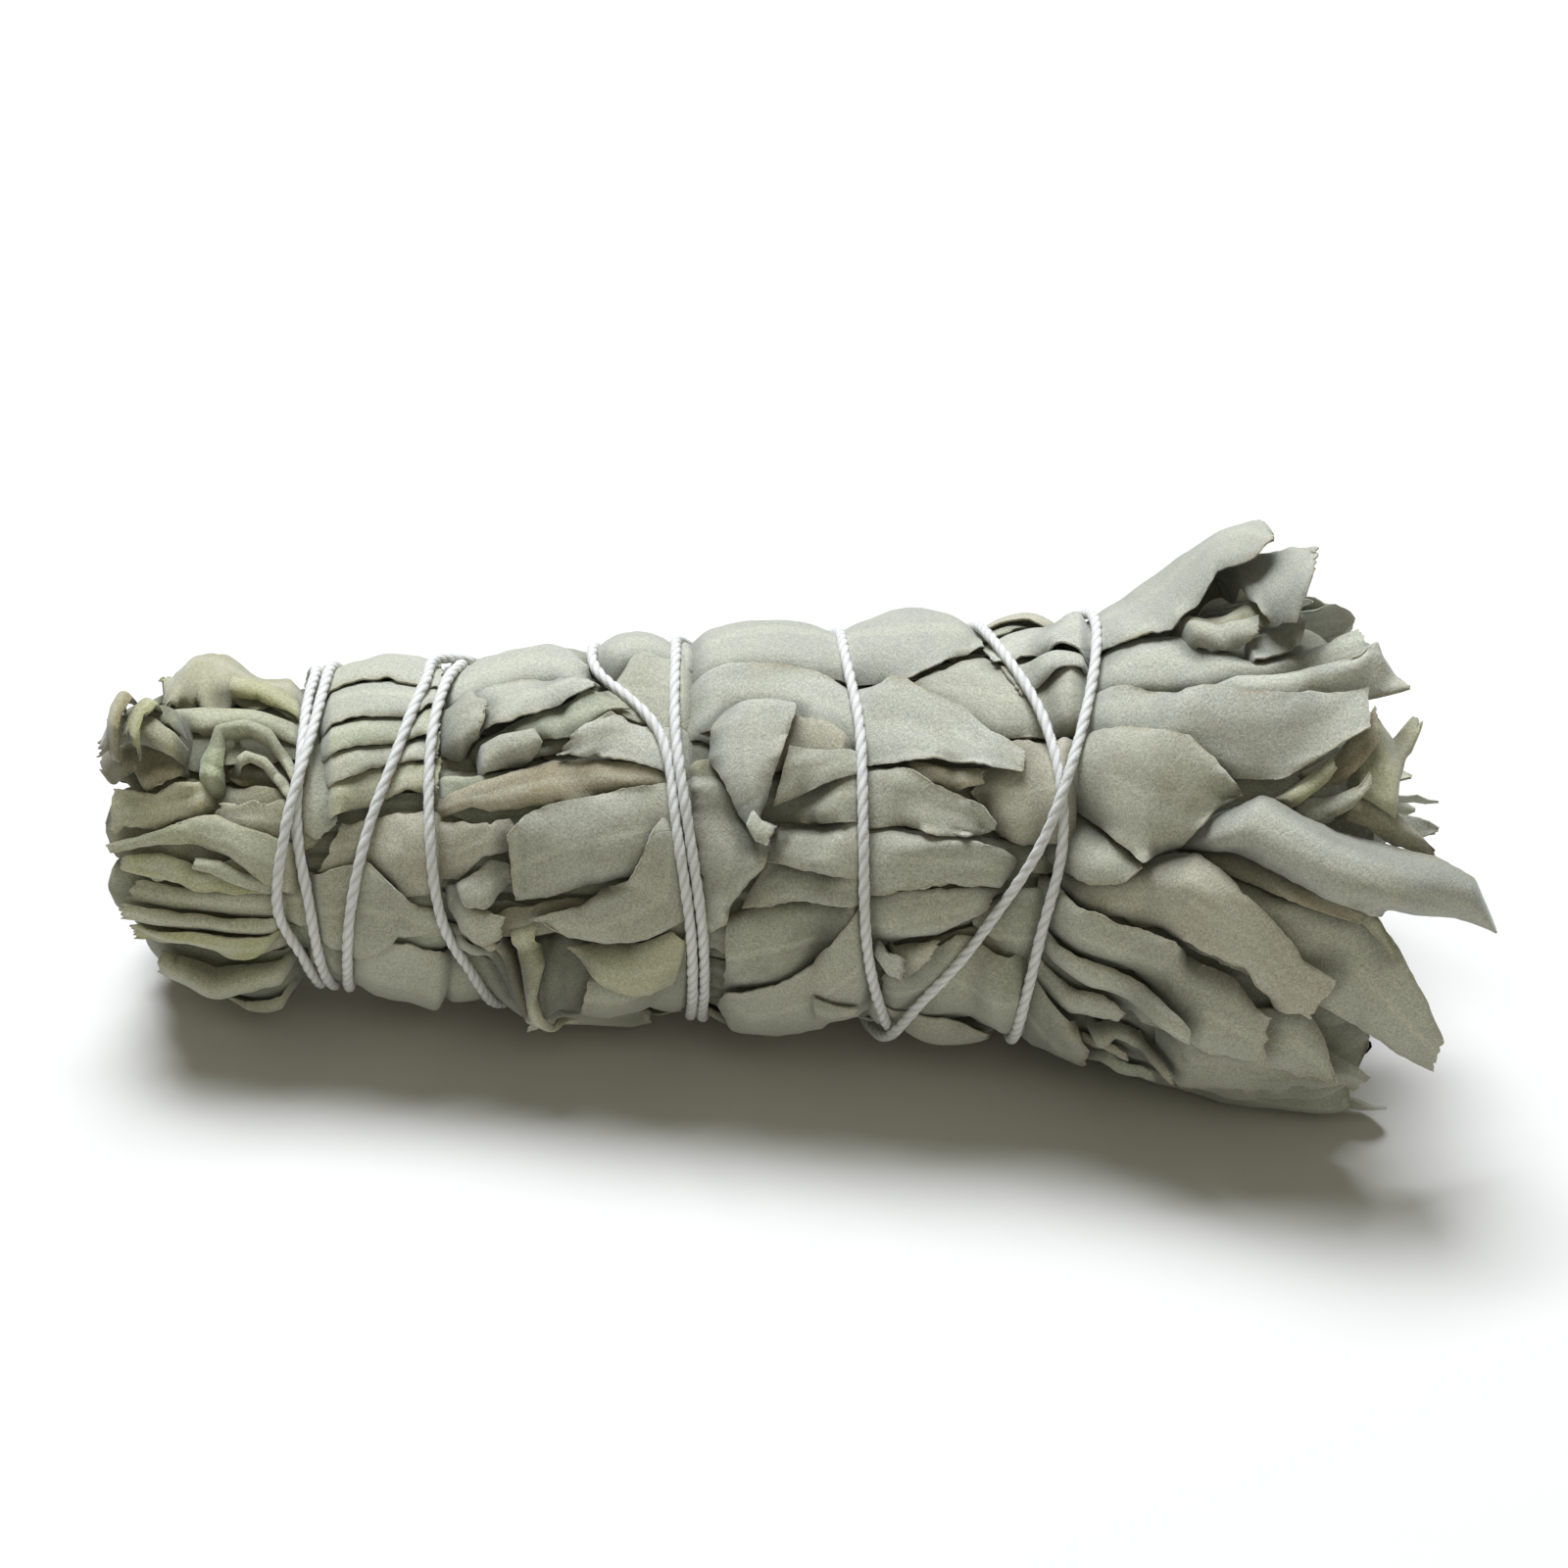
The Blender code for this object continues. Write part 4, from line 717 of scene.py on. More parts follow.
def draped(required, spacing, drape):
    """A smooth sheet over the radii that it has to clear, on a grid with that spacing along and across."""
    for axis in (0, 1):
        reach = max(1, int(round(drape / spacing[axis])))
        required = box_most(required, reach, axis)
        for part in (reach // 2, reach - reach // 2):
            required = box_mean(required, part, axis, "edge")
    return required


def waves(draw, length, along, shortest, longest, count):
    """A smooth random curve along a leaf, about -1 to 1, of sine waves between two wavelengths in mm."""
    total = 0
    for _ in range(count):
        wavelength = draw.uniform(shortest, longest)
        total = total + np.sin(2 * math.pi * (along * length / wavelength + draw.random()))
    return total / count**0.7


def outline(leaf, s):
    """Half width of a leaf along its length, as a share of its widest."""
    to_peak = np.clip(s / leaf.peak, 0, 1)
    past_peak = np.clip((s - leaf.peak) / (1 - leaf.peak), 0, 1)
    rise = 0.55 + 0.45 * np.sin(to_peak * math.pi / 2)
    fall = 1 - (1 - leaf.end) * past_peak ** (1.5 + leaf.end)
    rounding = np.sqrt(1 - 0.98 * np.clip((s - 0.9) / 0.1, 0, 1) ** 2)
    stalk = np.sqrt(1 - 0.9 * np.clip(1 - s / 0.12, 0, 1) ** 2)
    return rise * fall * rounding * stalk


def notches(leaf, length, s, draw):
    """How far the edge is eaten away along one side, in mm: small teeth and a few tears."""
    teeth = np.abs(np.sin(math.pi * (s * length / draw.uniform(*TEETH) + draw.random())))
    eaten = (0.06 + 0.14 * leaf.ragged) * teeth * (0.6 + 0.4 * waves(draw, length, s, *TEETH_WAVES))
    eaten = eaten + 0.35 * leaf.ragged * (1 + waves(draw, length, s, *EATEN_WAVES))
    for _ in range(int(round(3 * leaf.ragged * draw.random() * 2))):
        place, wide = draw.uniform(*TEAR_PLACES), draw.uniform(*TEAR_WIDTHS) / length
        eaten = eaten + draw.uniform(*TEAR_DEPTHS) * leaf.ragged * np.exp(-(((s - place) / wide) ** 2))
    return eaten


def leaf_shares(grid):
    """Shares of the way along a leaf, 0 to 1, and across it, -1 to 1, closer together at its edges."""
    rows, columns = grid
    s = np.linspace(0, 1, rows)[:, None]
    t = np.sin(np.linspace(-1, 1, columns) * math.pi / 2)[None, :]
    return s, t


def leaf_grid(leaf, grid, draw):
    """x and angle of a grid of points over a leaf, and its length, places across it and half width, in mm."""
    s, t = leaf_shares(grid)
    (x0, a0), (x1, a1) = leaf.root, leaf.tip
    a0, a1 = math.radians(a0), math.radians(a1)
    radius = girth(x0 + s * (x1 - x0))
    run, rise = x1 - x0, (a1 - a0) * float(radius.mean())
    length = math.hypot(run, rise)
    half = leaf.width / 2 * outline(leaf, s)
    left = half - notches(leaf, length, s, draw) * np.minimum(1, half / 2)
    right = half - notches(leaf, length, s, draw) * np.minimum(1, half / 2)
    side = t * half - t * np.abs(t) ** 3 * np.where(t > 0, half - right, half - left)
    wander = leaf.bow * np.sin(math.pi * s) + 0.02 * leaf.width * waves(draw, length, s, *WANDERING)
    x = x0 + s * run - (side + wander) * rise / length
    angle = a0 + s * (a1 - a0) + (side + wander) * run / length / radius
    return x, angle, length, side, half


def relief(leaf, length, side, grid, draw):
    """How far a leaf's own form stands out: bulge, lifted edges, folds along it and waves, in mm."""
    s, t = leaf_shares(grid)
    body = np.sin(math.pi * np.clip(s * 1.02, 0, 1)) ** 0.6
    crown = leaf.arch * (1 - t**2) ** 0.8 * body
    edge = leaf.curl * np.abs(t) ** 3 * (0.8 + 0.5 * waves(draw, length, s, *EDGE_WAVES) * np.sign(t))
    ripple = 0.16 * np.abs(t) ** 2 * (1 + waves(draw, length, s, *RIPPLES))
    folds = 0.0
    for _ in range(FOLDS):
        middle = draw.uniform(-0.8, 0.8) + draw.uniform(-0.5, 0.5) * s
        high = draw.uniform(*FOLD_HEIGHTS)
        folds = folds + high * np.exp(-(((t - middle) / draw.uniform(*FOLD_WIDTHS)) ** 2))
    rib = MIDRIB[0] * np.exp(-((side / MIDRIB[1]) ** 2)) * (1 - s) ** 0.5
    return np.maximum(0, crown + np.maximum(0, edge) * body + ripple + folds * body - rib)


def on_edge(edge, shares):
    """Pixels at these shares of the way along an edge traced in the photograph, and its length in mm."""
    edge = np.array(edge, float)
    run = np.concatenate([[0], np.cumsum(np.linalg.norm(np.diff(edge, axis=0), axis=1))])
    places = [np.interp(shares * run[-1], run, edge[:, axis]) for axis in (0, 1)]
    return np.column_stack(places), run[-1] * PIXEL


def off_camera(share):
    """Angle from the camera's direction to a place that share of the radius above the axis, or round it."""
    inside = np.clip(share, -OUTLINE_SHARE, OUTLINE_SHARE)
    return np.arcsin(inside) + (share - inside) / math.sqrt(1 - OUTLINE_SHARE**2)


def seen_places(pixels, radius_at):
    """x and angle on the bundle of places in the photograph, at the radius that a function gives for x."""
    away = PICTURE_WIDTH * CAMERA_LENS / CAMERA_SENSOR
    right = (pixels[..., 0] - PICTURE_PIXELS / 2) * PIXEL
    up = (PICTURE_PIXELS / 2 - pixels[..., 1]) * PIXEL
    level = right * math.cos(CAMERA_ROLL) - up * math.sin(CAMERA_ROLL)
    rise = right * math.sin(CAMERA_ROLL) + up * math.cos(CAMERA_ROLL)
    lift = np.array([0, math.sin(CAMERA_HEIGHT), math.cos(CAMERA_HEIGHT)])
    back = np.array([0, -math.cos(CAMERA_HEIGHT), math.sin(CAMERA_HEIGHT)])
    shift = np.array(AXIS_PLACE) - PICTURE_MIDDLE
    tilt = math.atan(AXIS_RISE)
    x, near = level, 0 * level
    for _ in range(6):
        radius, scale, height = radius_at(x), 1 - near / away, x * math.sin(tilt)
        turned = off_camera((rise * scale - shift @ lift - height * lift[2]) / radius)
        angle = CAMERA_HEIGHT + turned
        near = radius * np.cos(turned) + shift @ back + height * back[2]
        x = (level * scale - shift[0] + radius * np.sin(angle) * math.sin(tilt)) / math.cos(tilt)
    return x, angle


def traced_grid(leaf, grid, draw):
    """What leaf_grid gives, for a leaf whose edges were traced in the photograph."""
    s, t = leaf_shares(grid)
    first, length = on_edge(leaf.first, s[:, 0])
    second, other = on_edge(leaf.second, s[:, 0])
    length = (length + other) / 2
    half = np.maximum(np.linalg.norm(first - second, axis=1), 1)[:, None] * PIXEL / 2
    eaten = [notches(leaf, length, s, draw) * np.minimum(1, half / 2) for _ in (0, 1)]
    kept = t - t * np.abs(t) ** 3 * np.where(t > 0, eaten[1], eaten[0]) / half
    middle, beside = (first + second) / 2, (second - first) / 2
    pixels = middle[:, None, :] + beside[:, None, :] * kept[..., None]
    torn = leaf.ragged * np.abs(waves(draw, 1, t, 0.3, 1.2, 3)) * s**16 / PIXEL
    pixels = pixels - unit(middle[-1] - middle[-6]) * torn[..., None]
    flare = s**FLARE if leaf.reach else 0
    x, angle = seen_places(pixels, lambda x: girth(x) + (leaf.reach - girth(x)) * flare)
    return x, angle, length, t * half, half


def traced_relief(leaf, length, side, half, grid, draw):
    """How far a traced leaf's form stands out: a flat or rolled blade with sharp creases and lifted edges."""
    s, t = leaf_shares(grid)
    body = np.clip(s / 0.15, 0, 1) ** 0.7
    crown = 0.7 * leaf.arch * (1 - t**2) ** 0.8 * (1 - 0.6 * s**6)
    lift = 0.5 * np.where(t < 0, leaf.first_lift, leaf.second_lift) * np.abs(t) ** 6
    lift = lift * (0.8 + 0.4 * waves(draw, length, s, *EDGE_WAVES))
    creases = 0.0
    for _ in range(CREASES[0] + int(CREASES[1] * leaf.ragged)):
        middle = draw.uniform(-0.9, 0.9) * half.max() + draw.uniform(-0.4, 0.4) * (s - 0.5) * length
        high = draw.uniform(*CREASE_HEIGHTS) * (1 + leaf.ragged) * min(1, half.max() / 3) / (1 + leaf.arch)
        wide = draw.uniform(*CREASE_WIDTHS)
        creases = creases + high * np.maximum(0, 1 - np.abs(side - middle) / wide)
    ripple = 0.06 * t**2 * (1 + waves(draw, length, s, *TRACED_RIPPLES))
    rib = TRACED_MIDRIB[0] * np.exp(-((side / TRACED_MIDRIB[1]) ** 2)) * (1 - s) ** 0.5
    return np.maximum(0, (crown + lift + creases) * body + ripple + 0.35 * s**10 - rib)


def natural_radius(leaf, x, angle, s, bundle):
    """Radius that a loose leaf takes with nothing under it: it lies along the bundle or flares from it."""
    lying = bundle.shell(x, angle) + 0.1
    if leaf.reach:
        lying = lying + (leaf.reach - lying) * s**FLARE
    return lying


def lay(leaf, bundle, grid, draw, natural=None, from_x=-100.0, held=None):
    """Lays one leaf on the bundle. Returns it with its grid of x, angle and radius and its measures."""
    traced = isinstance(leaf, Traced)
    x, angle, length, side, half = (traced_grid if traced else leaf_grid)(leaf, grid, draw)
    if held:
        angle = held(x, angle)
    s, t = leaf_shares(grid)
    start = natural(x, s, t) if natural else natural_radius(leaf, x, angle, s, bundle)
    under = np.where(x > from_x, bundle.under(x, angle), 0)
    spacing = (length / (grid[0] - 1), 2 * float(half.max()) / (grid[1] - 1))
    stiff = min(BRIDGED_MOST, BRIDGED_LEAST + BRIDGED_SHARE * float(half.max()))
    stiff = stiff + BRIDGED_ROLLED * max(0, leaf.arch - 1)
    needed = np.maximum(start, under + LEAF_GAP)
    sheet = draped(needed, spacing, stiff)
    if leaf.arch > 1:
        sheet = box_mean(sheet, ROLLED_ROWS, 0, "edge")
    hugging = draped(needed, spacing, EDGE_BRIDGED)
    sheet = sheet + (hugging - sheet) * np.maximum(np.abs(t) ** 4, s**10)
    if traced:
        form = traced_relief(leaf, length, side, half, grid, draw)
    else:
        form = relief(leaf, length, side, grid, draw)
    radius = sheet + form * bundle.looseness(x, angle)
    if traced or not natural:
        radius = radius - ROOT_TUCK * np.clip(1 - s / 0.1, 0, 1)
    dense = [np.repeat(v, 2, axis=1)[:, :-1] for v in (x, angle, radius)]
    for v in dense:
        v[:, 1::2] = (v[:, :-1:2] + v[:, 2::2]) / 2
    shown = dense[0] > from_x - 6
    bundle.cover(dense[0][shown], dense[1][shown], dense[2][shown] + LEAF_THICKNESS)
    places = {"x": x, "angle": angle, "radius": radius}
    return {"leaf": leaf, "side": side, "half": half, "length": length, **places}


def sprig_leaf(leaf, level, middle, bundle, draw):
    """A leaf that grows out of the leafy end of its sprig's pressed part and flares to its own reach."""
    inner, outer = heart_radius(SHELL_ENDS[1]), float(bundle.shell(SHELL_ENDS[1], middle))
    root_radius = inner + 0.7 + (outer - inner - 2.2) * level / (len(SPRIG_LEVELS) - 1)

    def natural(x, s, t):
        beyond = np.clip((x - SHELL_ENDS[1]) / (leaf.tip[0] - SHELL_ENDS[1]), 0, 1)
        return root_radius + (leaf.reach - root_radius) * beyond**0.8

    def held(x, angle):
        limit = SPRIG_ANGLE / 2 - 0.1 / root_radius
        share = np.clip((x - SHELL_ENDS[1] - 3) / 5, 0, 1)
        kept = middle + (angle - middle) * np.minimum(1, limit / np.maximum(np.abs(angle - middle), 1e-6))
        return kept + (angle - kept) * share

    return lay(leaf, bundle, INNER_GRID, draw, natural, SHELL_ENDS[1] + 2.5, held)


def inner_leaf(node, root, tip, width, reach, draw, tone=None, **more):
    """A leaf of a sprig, with its finer features drawn at random."""
    tone = tone or draw.choice(("sage", "sage", "green", "pale", "beige"))
    features = dict(bow=draw.uniform(-1, 1), curl=0.4, arch=draw.uniform(0.2, 0.8))
    features.update(peak=0.5, end=0.6, ragged=0.4)
    features.update(more)
    return Leaf(node=node, root=root, tip=tip, width=width, reach=reach, tone=tone, **features)


def lay_sprig_ends(bundle):
    """The leaves that stand out of the outer sprigs at the cut end and at the leafy end."""
    draws = [random.Random(SPRIG_SEED + k) for k in range(SPRIGS)]
    middles = [SPRIG_TURN + k * SPRIG_ANGLE for k in range(SPRIGS)]
    laid = []
    for k in range(SPRIGS):
        draw, middle = draws[k], middles[k]
        for n, share in enumerate(BASE_LEVELS):
            inner = heart_radius(CUT_END)
            radius = float(inner + share * (bundle.shell(CUT_END, middle) - inner) - 0.2)
            turned = math.degrees(middle) + (n * 2 % 5 - 2) * 11
            tip = (draw.uniform(*BASE_TIPS), turned + draw.uniform(-6, 6))
            width = draw.uniform(*BASE_WIDTHS)
            more = dict(bow=0, end=0.7, arch=0.8)
            leaf = inner_leaf(f"sprig_{k + 1}", (BASE_ROOT, turned), tip, width, radius, draw, **more)
            laid.append(lay(leaf, bundle, INNER_GRID, draw, lambda x, s, t: radius + 0 * x))
    for level, reach in enumerate(SPRIG_LEVELS):
        for k in range(SPRIGS):
            draw, turned = draws[k], math.degrees(middles[k])
            root = (HEAD_ROOT, turned + draw.uniform(-5, 5))
            tip_x = draw.uniform(*HEAD_TIPS) - 1.2 * level
            tip = (tip_x, turned + (level * 2 % 5 - 2) * 7 + draw.uniform(-4, 4))
            leaf = inner_leaf(f"sprig_{k + 1}", root, tip, draw.uniform(*HEAD_WIDTHS), reach, draw)
            laid.append(sprig_leaf(leaf, level, middles[k], bundle, draw))
    return laid


def lay_heart(bundle):
    """The leaves at the leafy end of the middle sprig."""
    draw = random.Random(SPRIG_SEED - 1)
    laid = []
    for n in range(HEART_LEAVES):
        turned = n * SPREAD_TURN
        reach = 1.8 + 0.55 * n
        tip = (HEART_TIP - 0.6 * n + draw.uniform(-2, 2), turned + draw.uniform(-15, 15))
        width = draw.uniform(*HEART_WIDTHS)
        leaf = inner_leaf("sprig_heart", (HEART_ROOT, turned), tip, width, reach, draw, bow=0)
        spread = min(2.0, float(girth(30.0)) / (reach + 5))

        def natural(x, s, t):
            return 1.2 + (reach - 1.2) * s + 0 * t

        def held(x, angle):
            return math.radians(turned) + (angle - math.radians(turned)) * spread

        laid.append(lay(leaf, bundle, INNER_GRID, draw, natural, 100.0, held))
        grid = laid[-1]
        beyond = grid["x"] > SHELL_ENDS[1] - 2
        bundle.cover(grid["x"][beyond], grid["angle"][beyond], grid["radius"][beyond] + LEAF_THICKNESS)
    return laid


def lay_pressed(bundle):
    """Narrow leaves pressed all over the sprigs, which show in the gaps between the loose leaves."""
    draw = random.Random(SPRIG_SEED + 20)
    x, angle = np.meshgrid(np.arange(SHELL_ENDS[0], SHELL_ENDS[1], 0.2), np.linspace(0, 2 * math.pi, 700))
    bundle.cover(x, angle, bundle.shell(x, angle))
    laid = []
    for n in range(PRESSED_LEAVES):
        turned = n * SPREAD_TURN % 360
        start = draw.uniform(*PRESSED_ROOTS)
        length = draw.uniform(*PRESSED_LENGTHS)
        number = int(((math.radians(turned) - SPRIG_TURN) / SPRIG_ANGLE + 0.5) // 1 % SPRIGS) + 1
        # Dark is drawn twice as often as the rest: painted shade where these leaves show in the gaps between
        # the loose leaves
        tone = draw.choice(("sage", "green", "dark", "dark", "yellow", "brown"))
        ends = [(start, turned), (start + length, turned + draw.uniform(-18, 18))]
        draw.shuffle(ends)
        width = draw.uniform(*PRESSED_WIDTHS)
        leaf = inner_leaf(f"sprig_{number}", *ends, width, 0.0, draw, tone, curl=0.2)
        laid.append(lay(leaf, bundle, INNER_GRID, draw))
    return laid


def back_leaves(draw):
    """Loose leaves over the side that the photograph doesn't show, in rows from the stems to the tips."""
    leaves = []
    for row, (root_x, tip_x, first, last, count, width, reach) in enumerate(BACK_ROWS):
        for n in range(count):
            angle = first + (last - first) * (n + 0.5) / count + draw.uniform(-4, 4)
            turn = draw.uniform(-8, 8)
            root = (root_x, angle - turn)
            tip = (tip_x + draw.uniform(-2, 2), angle + turn)
            bow = draw.uniform(-1, 1)
            leaves.append((f"back_{row + 1}_{n + 1}", root, tip, width, bow, reach))
    return leaves


def lay_back(bundle):
    """The loose leaves behind, each with smaller ones beside it."""
    places = back_leaves(random.Random(BACK_SEED))
    draw = random.Random(BACK_SEED + 1)
    laid = []
    for node, root, tip, width, bow, reach in places:
        run = tip[0] - root[0]
        for n in range(BESIDE_BACK):
            share = draw.uniform(0.3, 0.7)
            beside = (n - (BESIDE_BACK - 1) / 2) * draw.uniform(14, 20)
            small_root = (root[0] + run * share * 0.6, root[1] + beside)
            small_tip = (root[0] + run * min(1, share + 0.45), tip[1] + beside * draw.uniform(0.4, 1.2))
            width_beside = draw.uniform(*BESIDE_WIDTHS)
            leaf = inner_leaf(node, small_root, small_tip, width_beside, reach * 0.97, draw, curl=0.3)
            laid.append(lay(leaf, bundle, INNER_GRID, draw))
    for node, root, tip, width, bow, reach in places:
        tone = draw.choice(("sage", "pale", "sage", "beige"))
        leaf = Leaf(node, root, tip, width * 0.94, bow, reach, 0.4, 0.5, 0.5, 0.3, tone, 0.3)
        laid.append(lay(leaf, bundle, FINE_GRID, draw))
    return laid


def lay_front(bundle):
    """The loose leaves of the photographed side."""
    draw = random.Random(BACK_SEED + 2)
    under = [lay(Leaf(*row), bundle, INNER_GRID, draw) for row in UNDER_LEAVES]
    return under + [lay(Traced(*row), bundle, FINE_GRID, draw) for row in TRACED_LEAVES]


def lay_all(depth, distance):
    """All leaves, from the inside out, on a bundle whose outer layer has that depth."""
    bundle = Bundle(depth, distance)
    heart = lay_heart(bundle)
    ends = lay_sprig_ends(bundle)
    pressed = lay_pressed(bundle)
    return bundle, heart + ends + pressed + lay_back(bundle) + lay_front(bundle)


def unit(vectors):
    """The same directions with a length of 1."""
    return vectors / np.maximum(np.linalg.norm(vectors, axis=-1, keepdims=True), 1e-12)


def grid_faces(rows, columns):
    """Corners of the four-sided faces of a grid of points."""
    a = (np.arange(rows - 1)[:, None] * columns + np.arange(columns - 1)[None, :]).ravel()
    return np.stack([a, a + 1, a + columns + 1, a + columns], axis=1)


def blade_faces(rows, columns):
    """Faces of a closed blade from two grids of points, the upper one first, and the rim between them."""
    top = grid_faces(rows, columns)
    over = rows * columns
    ring = np.concatenate([
        np.arange(columns),
        np.arange(1, rows) * columns + columns - 1,
        (rows - 1) * columns + np.arange(columns - 2, -1, -1),
        np.arange(rows - 2, 0, -1) * columns,
    ])
    after = np.roll(ring, -1)
    rim = np.stack([ring, ring + over, after + over, after], axis=1)
    return np.concatenate([top, top[:, ::-1] + over, rim])


def leaf_part(grid, bundle, draw):
    """A closed leaf blade as points, faces and the values that its material reads."""
    leaf, x, angle, radius = grid["leaf"], grid["x"], grid["angle"], grid["radius"]
    rows, columns = x.shape
    s, t = leaf_shares((rows, columns))
    middle = bundle.pressed(x, angle, radius + LEAF_THICKNESS / 2)
    normal = unit(np.cross(np.gradient(middle, axis=0), np.gradient(middle, axis=1)))
    outward = bundle.pressed(x, angle, radius + 1) - bundle.pressed(x, angle, radius)
    normal = normal * np.where((normal * outward).sum(-1, keepdims=True) < 0, -1, 1)
    thin = LEAF_THICKNESS / 2 * MM * (1 - 0.45 * np.abs(t) ** 6) * (1 - 0.4 * s**8)
    upper = middle + normal * thin[..., None]
    lower = middle - normal * thin[..., None]
    points = np.concatenate([upper.reshape(-1, 3), lower.reshape(-1, 3)])
    points[:, 2] = np.maximum(points[:, 2], 0.00002)
    faces = blade_faces(rows, columns)
    flow = np.cross(middle[1, columns // 2] - middle[0, columns // 2], middle[0, -1] - middle[0, 0])
    if (flow * outward[0, columns // 2]).sum() < 0:
        faces = faces[:, ::-1]
    base = np.array(TONES[leaf.tone]) * draw.uniform(0.9, 1.08)
    dried = np.interp(x.ravel(), DRIED_FROM, (1, 0))[:, None] * DRIED_LOSS
    edge = (1 - np.abs(t)) * grid["half"]
    values = {
        "leaf_across": grid["side"] + 0 * x,
        "leaf_along": s * grid["length"] + 0 * x,
        "leaf_edge": np.minimum(edge, (1 - s) * grid["length"]),
        "leaf_number": np.full(x.shape, draw.random() * 10),
        # How much painted shade the blade gets where it lies deep between the leaves round it
        "painted_gap_shade": bundle.painted_gap_shade(x, angle, radius + LEAF_THICKNESS),
    }
    values = {key: np.tile(value.ravel(), 2) for key, value in values.items()}
    values["under_side"] = np.repeat([0.0, 1.0], rows * columns)
    return points, faces, values, np.tile(base * (1 - dried), (2, 1))


def tube_faces(rings, count):
    """Four-sided faces between rings of so many points."""
    start = np.arange(rings - 1)[:, None] * count
    a = (start + np.arange(count)).ravel()
    b = (start + (np.arange(count) + 1) % count).ravel()
    return np.stack([a, b, b + count, a + count], axis=1)


def closed_bar(rings):
    """Points and faces of a closed bar from its rings of points, with one more point in each end's middle."""
    count = len(rings[0])
    points = np.concatenate(rings)
    middles = [points[:count].mean(axis=0), points[-count:].mean(axis=0)]
    first, last, behind = len(points), len(points) + 1, len(points) - count
    even = np.arange(0, count, 2)
    after = (even + 2) % count
    front = np.stack([np.full(len(even), first), after, even + 1, even], axis=1)
    back = np.stack([np.full(len(even), last), even + behind, even + 1 + behind, after + behind], axis=1)
    return np.concatenate([points, middles]), np.concatenate([tube_faces(len(rings), count), front, back])


def bar_part(sections, bundle, tone):
    """A closed bar along the bundle from its sections, each an x with angles and radii round it."""
    points, faces = closed_bar([bundle.pressed(*section) for section in sections])
    # The pressed stems and inner leaves get a fixed painted shade of 0.6
    return points, faces, plain_values(points, 3.0, 0.6), np.tile(TONES[tone], (len(points), 1))


def plain_values(points, number, painted_gap_shade=1.0):
    """Material values for a part that is no leaf: its place in mm, no edge, and a fixed share of painted shade.
    """
    count = len(points)
    return {
        "leaf_across": points[:, 1] / MM,
        "leaf_along": points[:, 0] / MM,
        "leaf_edge": np.full(count, 5.0),
        "leaf_number": np.full(count, number),
        "painted_gap_shade": np.full(count, painted_gap_shade),
        "under_side": np.zeros(count),
    }


def stem_part(x_end, angle, radius, bundle, draw):
    """A cut stem, squarish in section as sage stems are, that runs into the bundle along its axis."""
    around = np.arange(STEM_SIDES) / STEM_SIDES * 2 * math.pi
    square = STEM_RADIUS * (1 - 0.1 * np.cos(4 * around))
    twist = draw.random()
    rings = []
    stations = np.concatenate([[x_end], np.linspace(x_end + 0.15, STEM_TOP, 40)])
    for n, x in enumerate(stations):
        thin = (0.85 if n == 0 else 1.0) * (1 - 0.2 * n / len(stations))
        across = radius * math.cos(angle) + square * thin * np.cos(around + twist)
        across = across + 0.15 * math.sin(x * 0.7 + angle)
        up = radius * math.sin(angle) + square * thin * np.sin(around + twist)
        up = up + 0.15 * math.cos(x * 0.9 + angle)
        rings.append(bundle.pressed(x + 0 * across, np.arctan2(up, across), np.hypot(across, up)))
    points, faces = closed_bar(rings)
    # The cut stems get a fixed painted shade of 0.3
    return points, faces, plain_values(points, 7.0, 0.3), np.tile(TONES["brown"], (len(points), 1))


def mesh_piece(name, parts, material):
    """One object from its parts: points, faces, values for each point and their tone."""
    starts = np.cumsum([0] + [len(part[0]) for part in parts])
    points = np.concatenate([part[0] for part in parts])
    faces = np.concatenate([part[1] + start for part, start in zip(parts, starts)])
    mesh = bpy.data.meshes.new(name)
    mesh.vertices.add(len(points))
    mesh.vertices.foreach_set("co", points.astype(np.float32).ravel())
    mesh.loops.add(faces.size)
    mesh.loops.foreach_set("vertex_index", faces.astype(np.int32).ravel())
    mesh.polygons.add(len(faces))
    mesh.polygons.foreach_set("loop_start", np.arange(0, faces.size, 4, dtype=np.int32))
    mesh.polygons.foreach_set("loop_total", np.full(len(faces), 4, dtype=np.int32))
    mesh.update(calc_edges=True)
    mesh.shade_smooth()
    mesh.set_sharp_from_angle(angle=math.radians(70))
    for key in parts[0][2]:
        values = np.concatenate([part[2][key] for part in parts])
        mesh.attributes.new(key, "FLOAT", "POINT").data.foreach_set("value", values.astype(np.float32))
    tones = np.concatenate([np.column_stack([part[3], np.ones(len(part[3]))]) for part in parts])
    tone = mesh.attributes.new("tone", "FLOAT_COLOR", "POINT")
    tone.data.foreach_set("color", tones.astype(np.float32).ravel())
    mesh.materials.append(material)
    piece = bpy.data.objects.new(name, mesh)
    bpy.context.scene.collection.objects.link(piece)
    return piece


def heart_section(x):
    """Section of the middle sprig's pressed leaves and stems."""
    angles = np.arange(HEART_SIDES) / HEART_SIDES * 2 * math.pi
    radii = np.full(HEART_SIDES, float(heart_radius(x))) * (1 + 0.03 * np.sin(5 * angles + x))
    return x, angles, radii


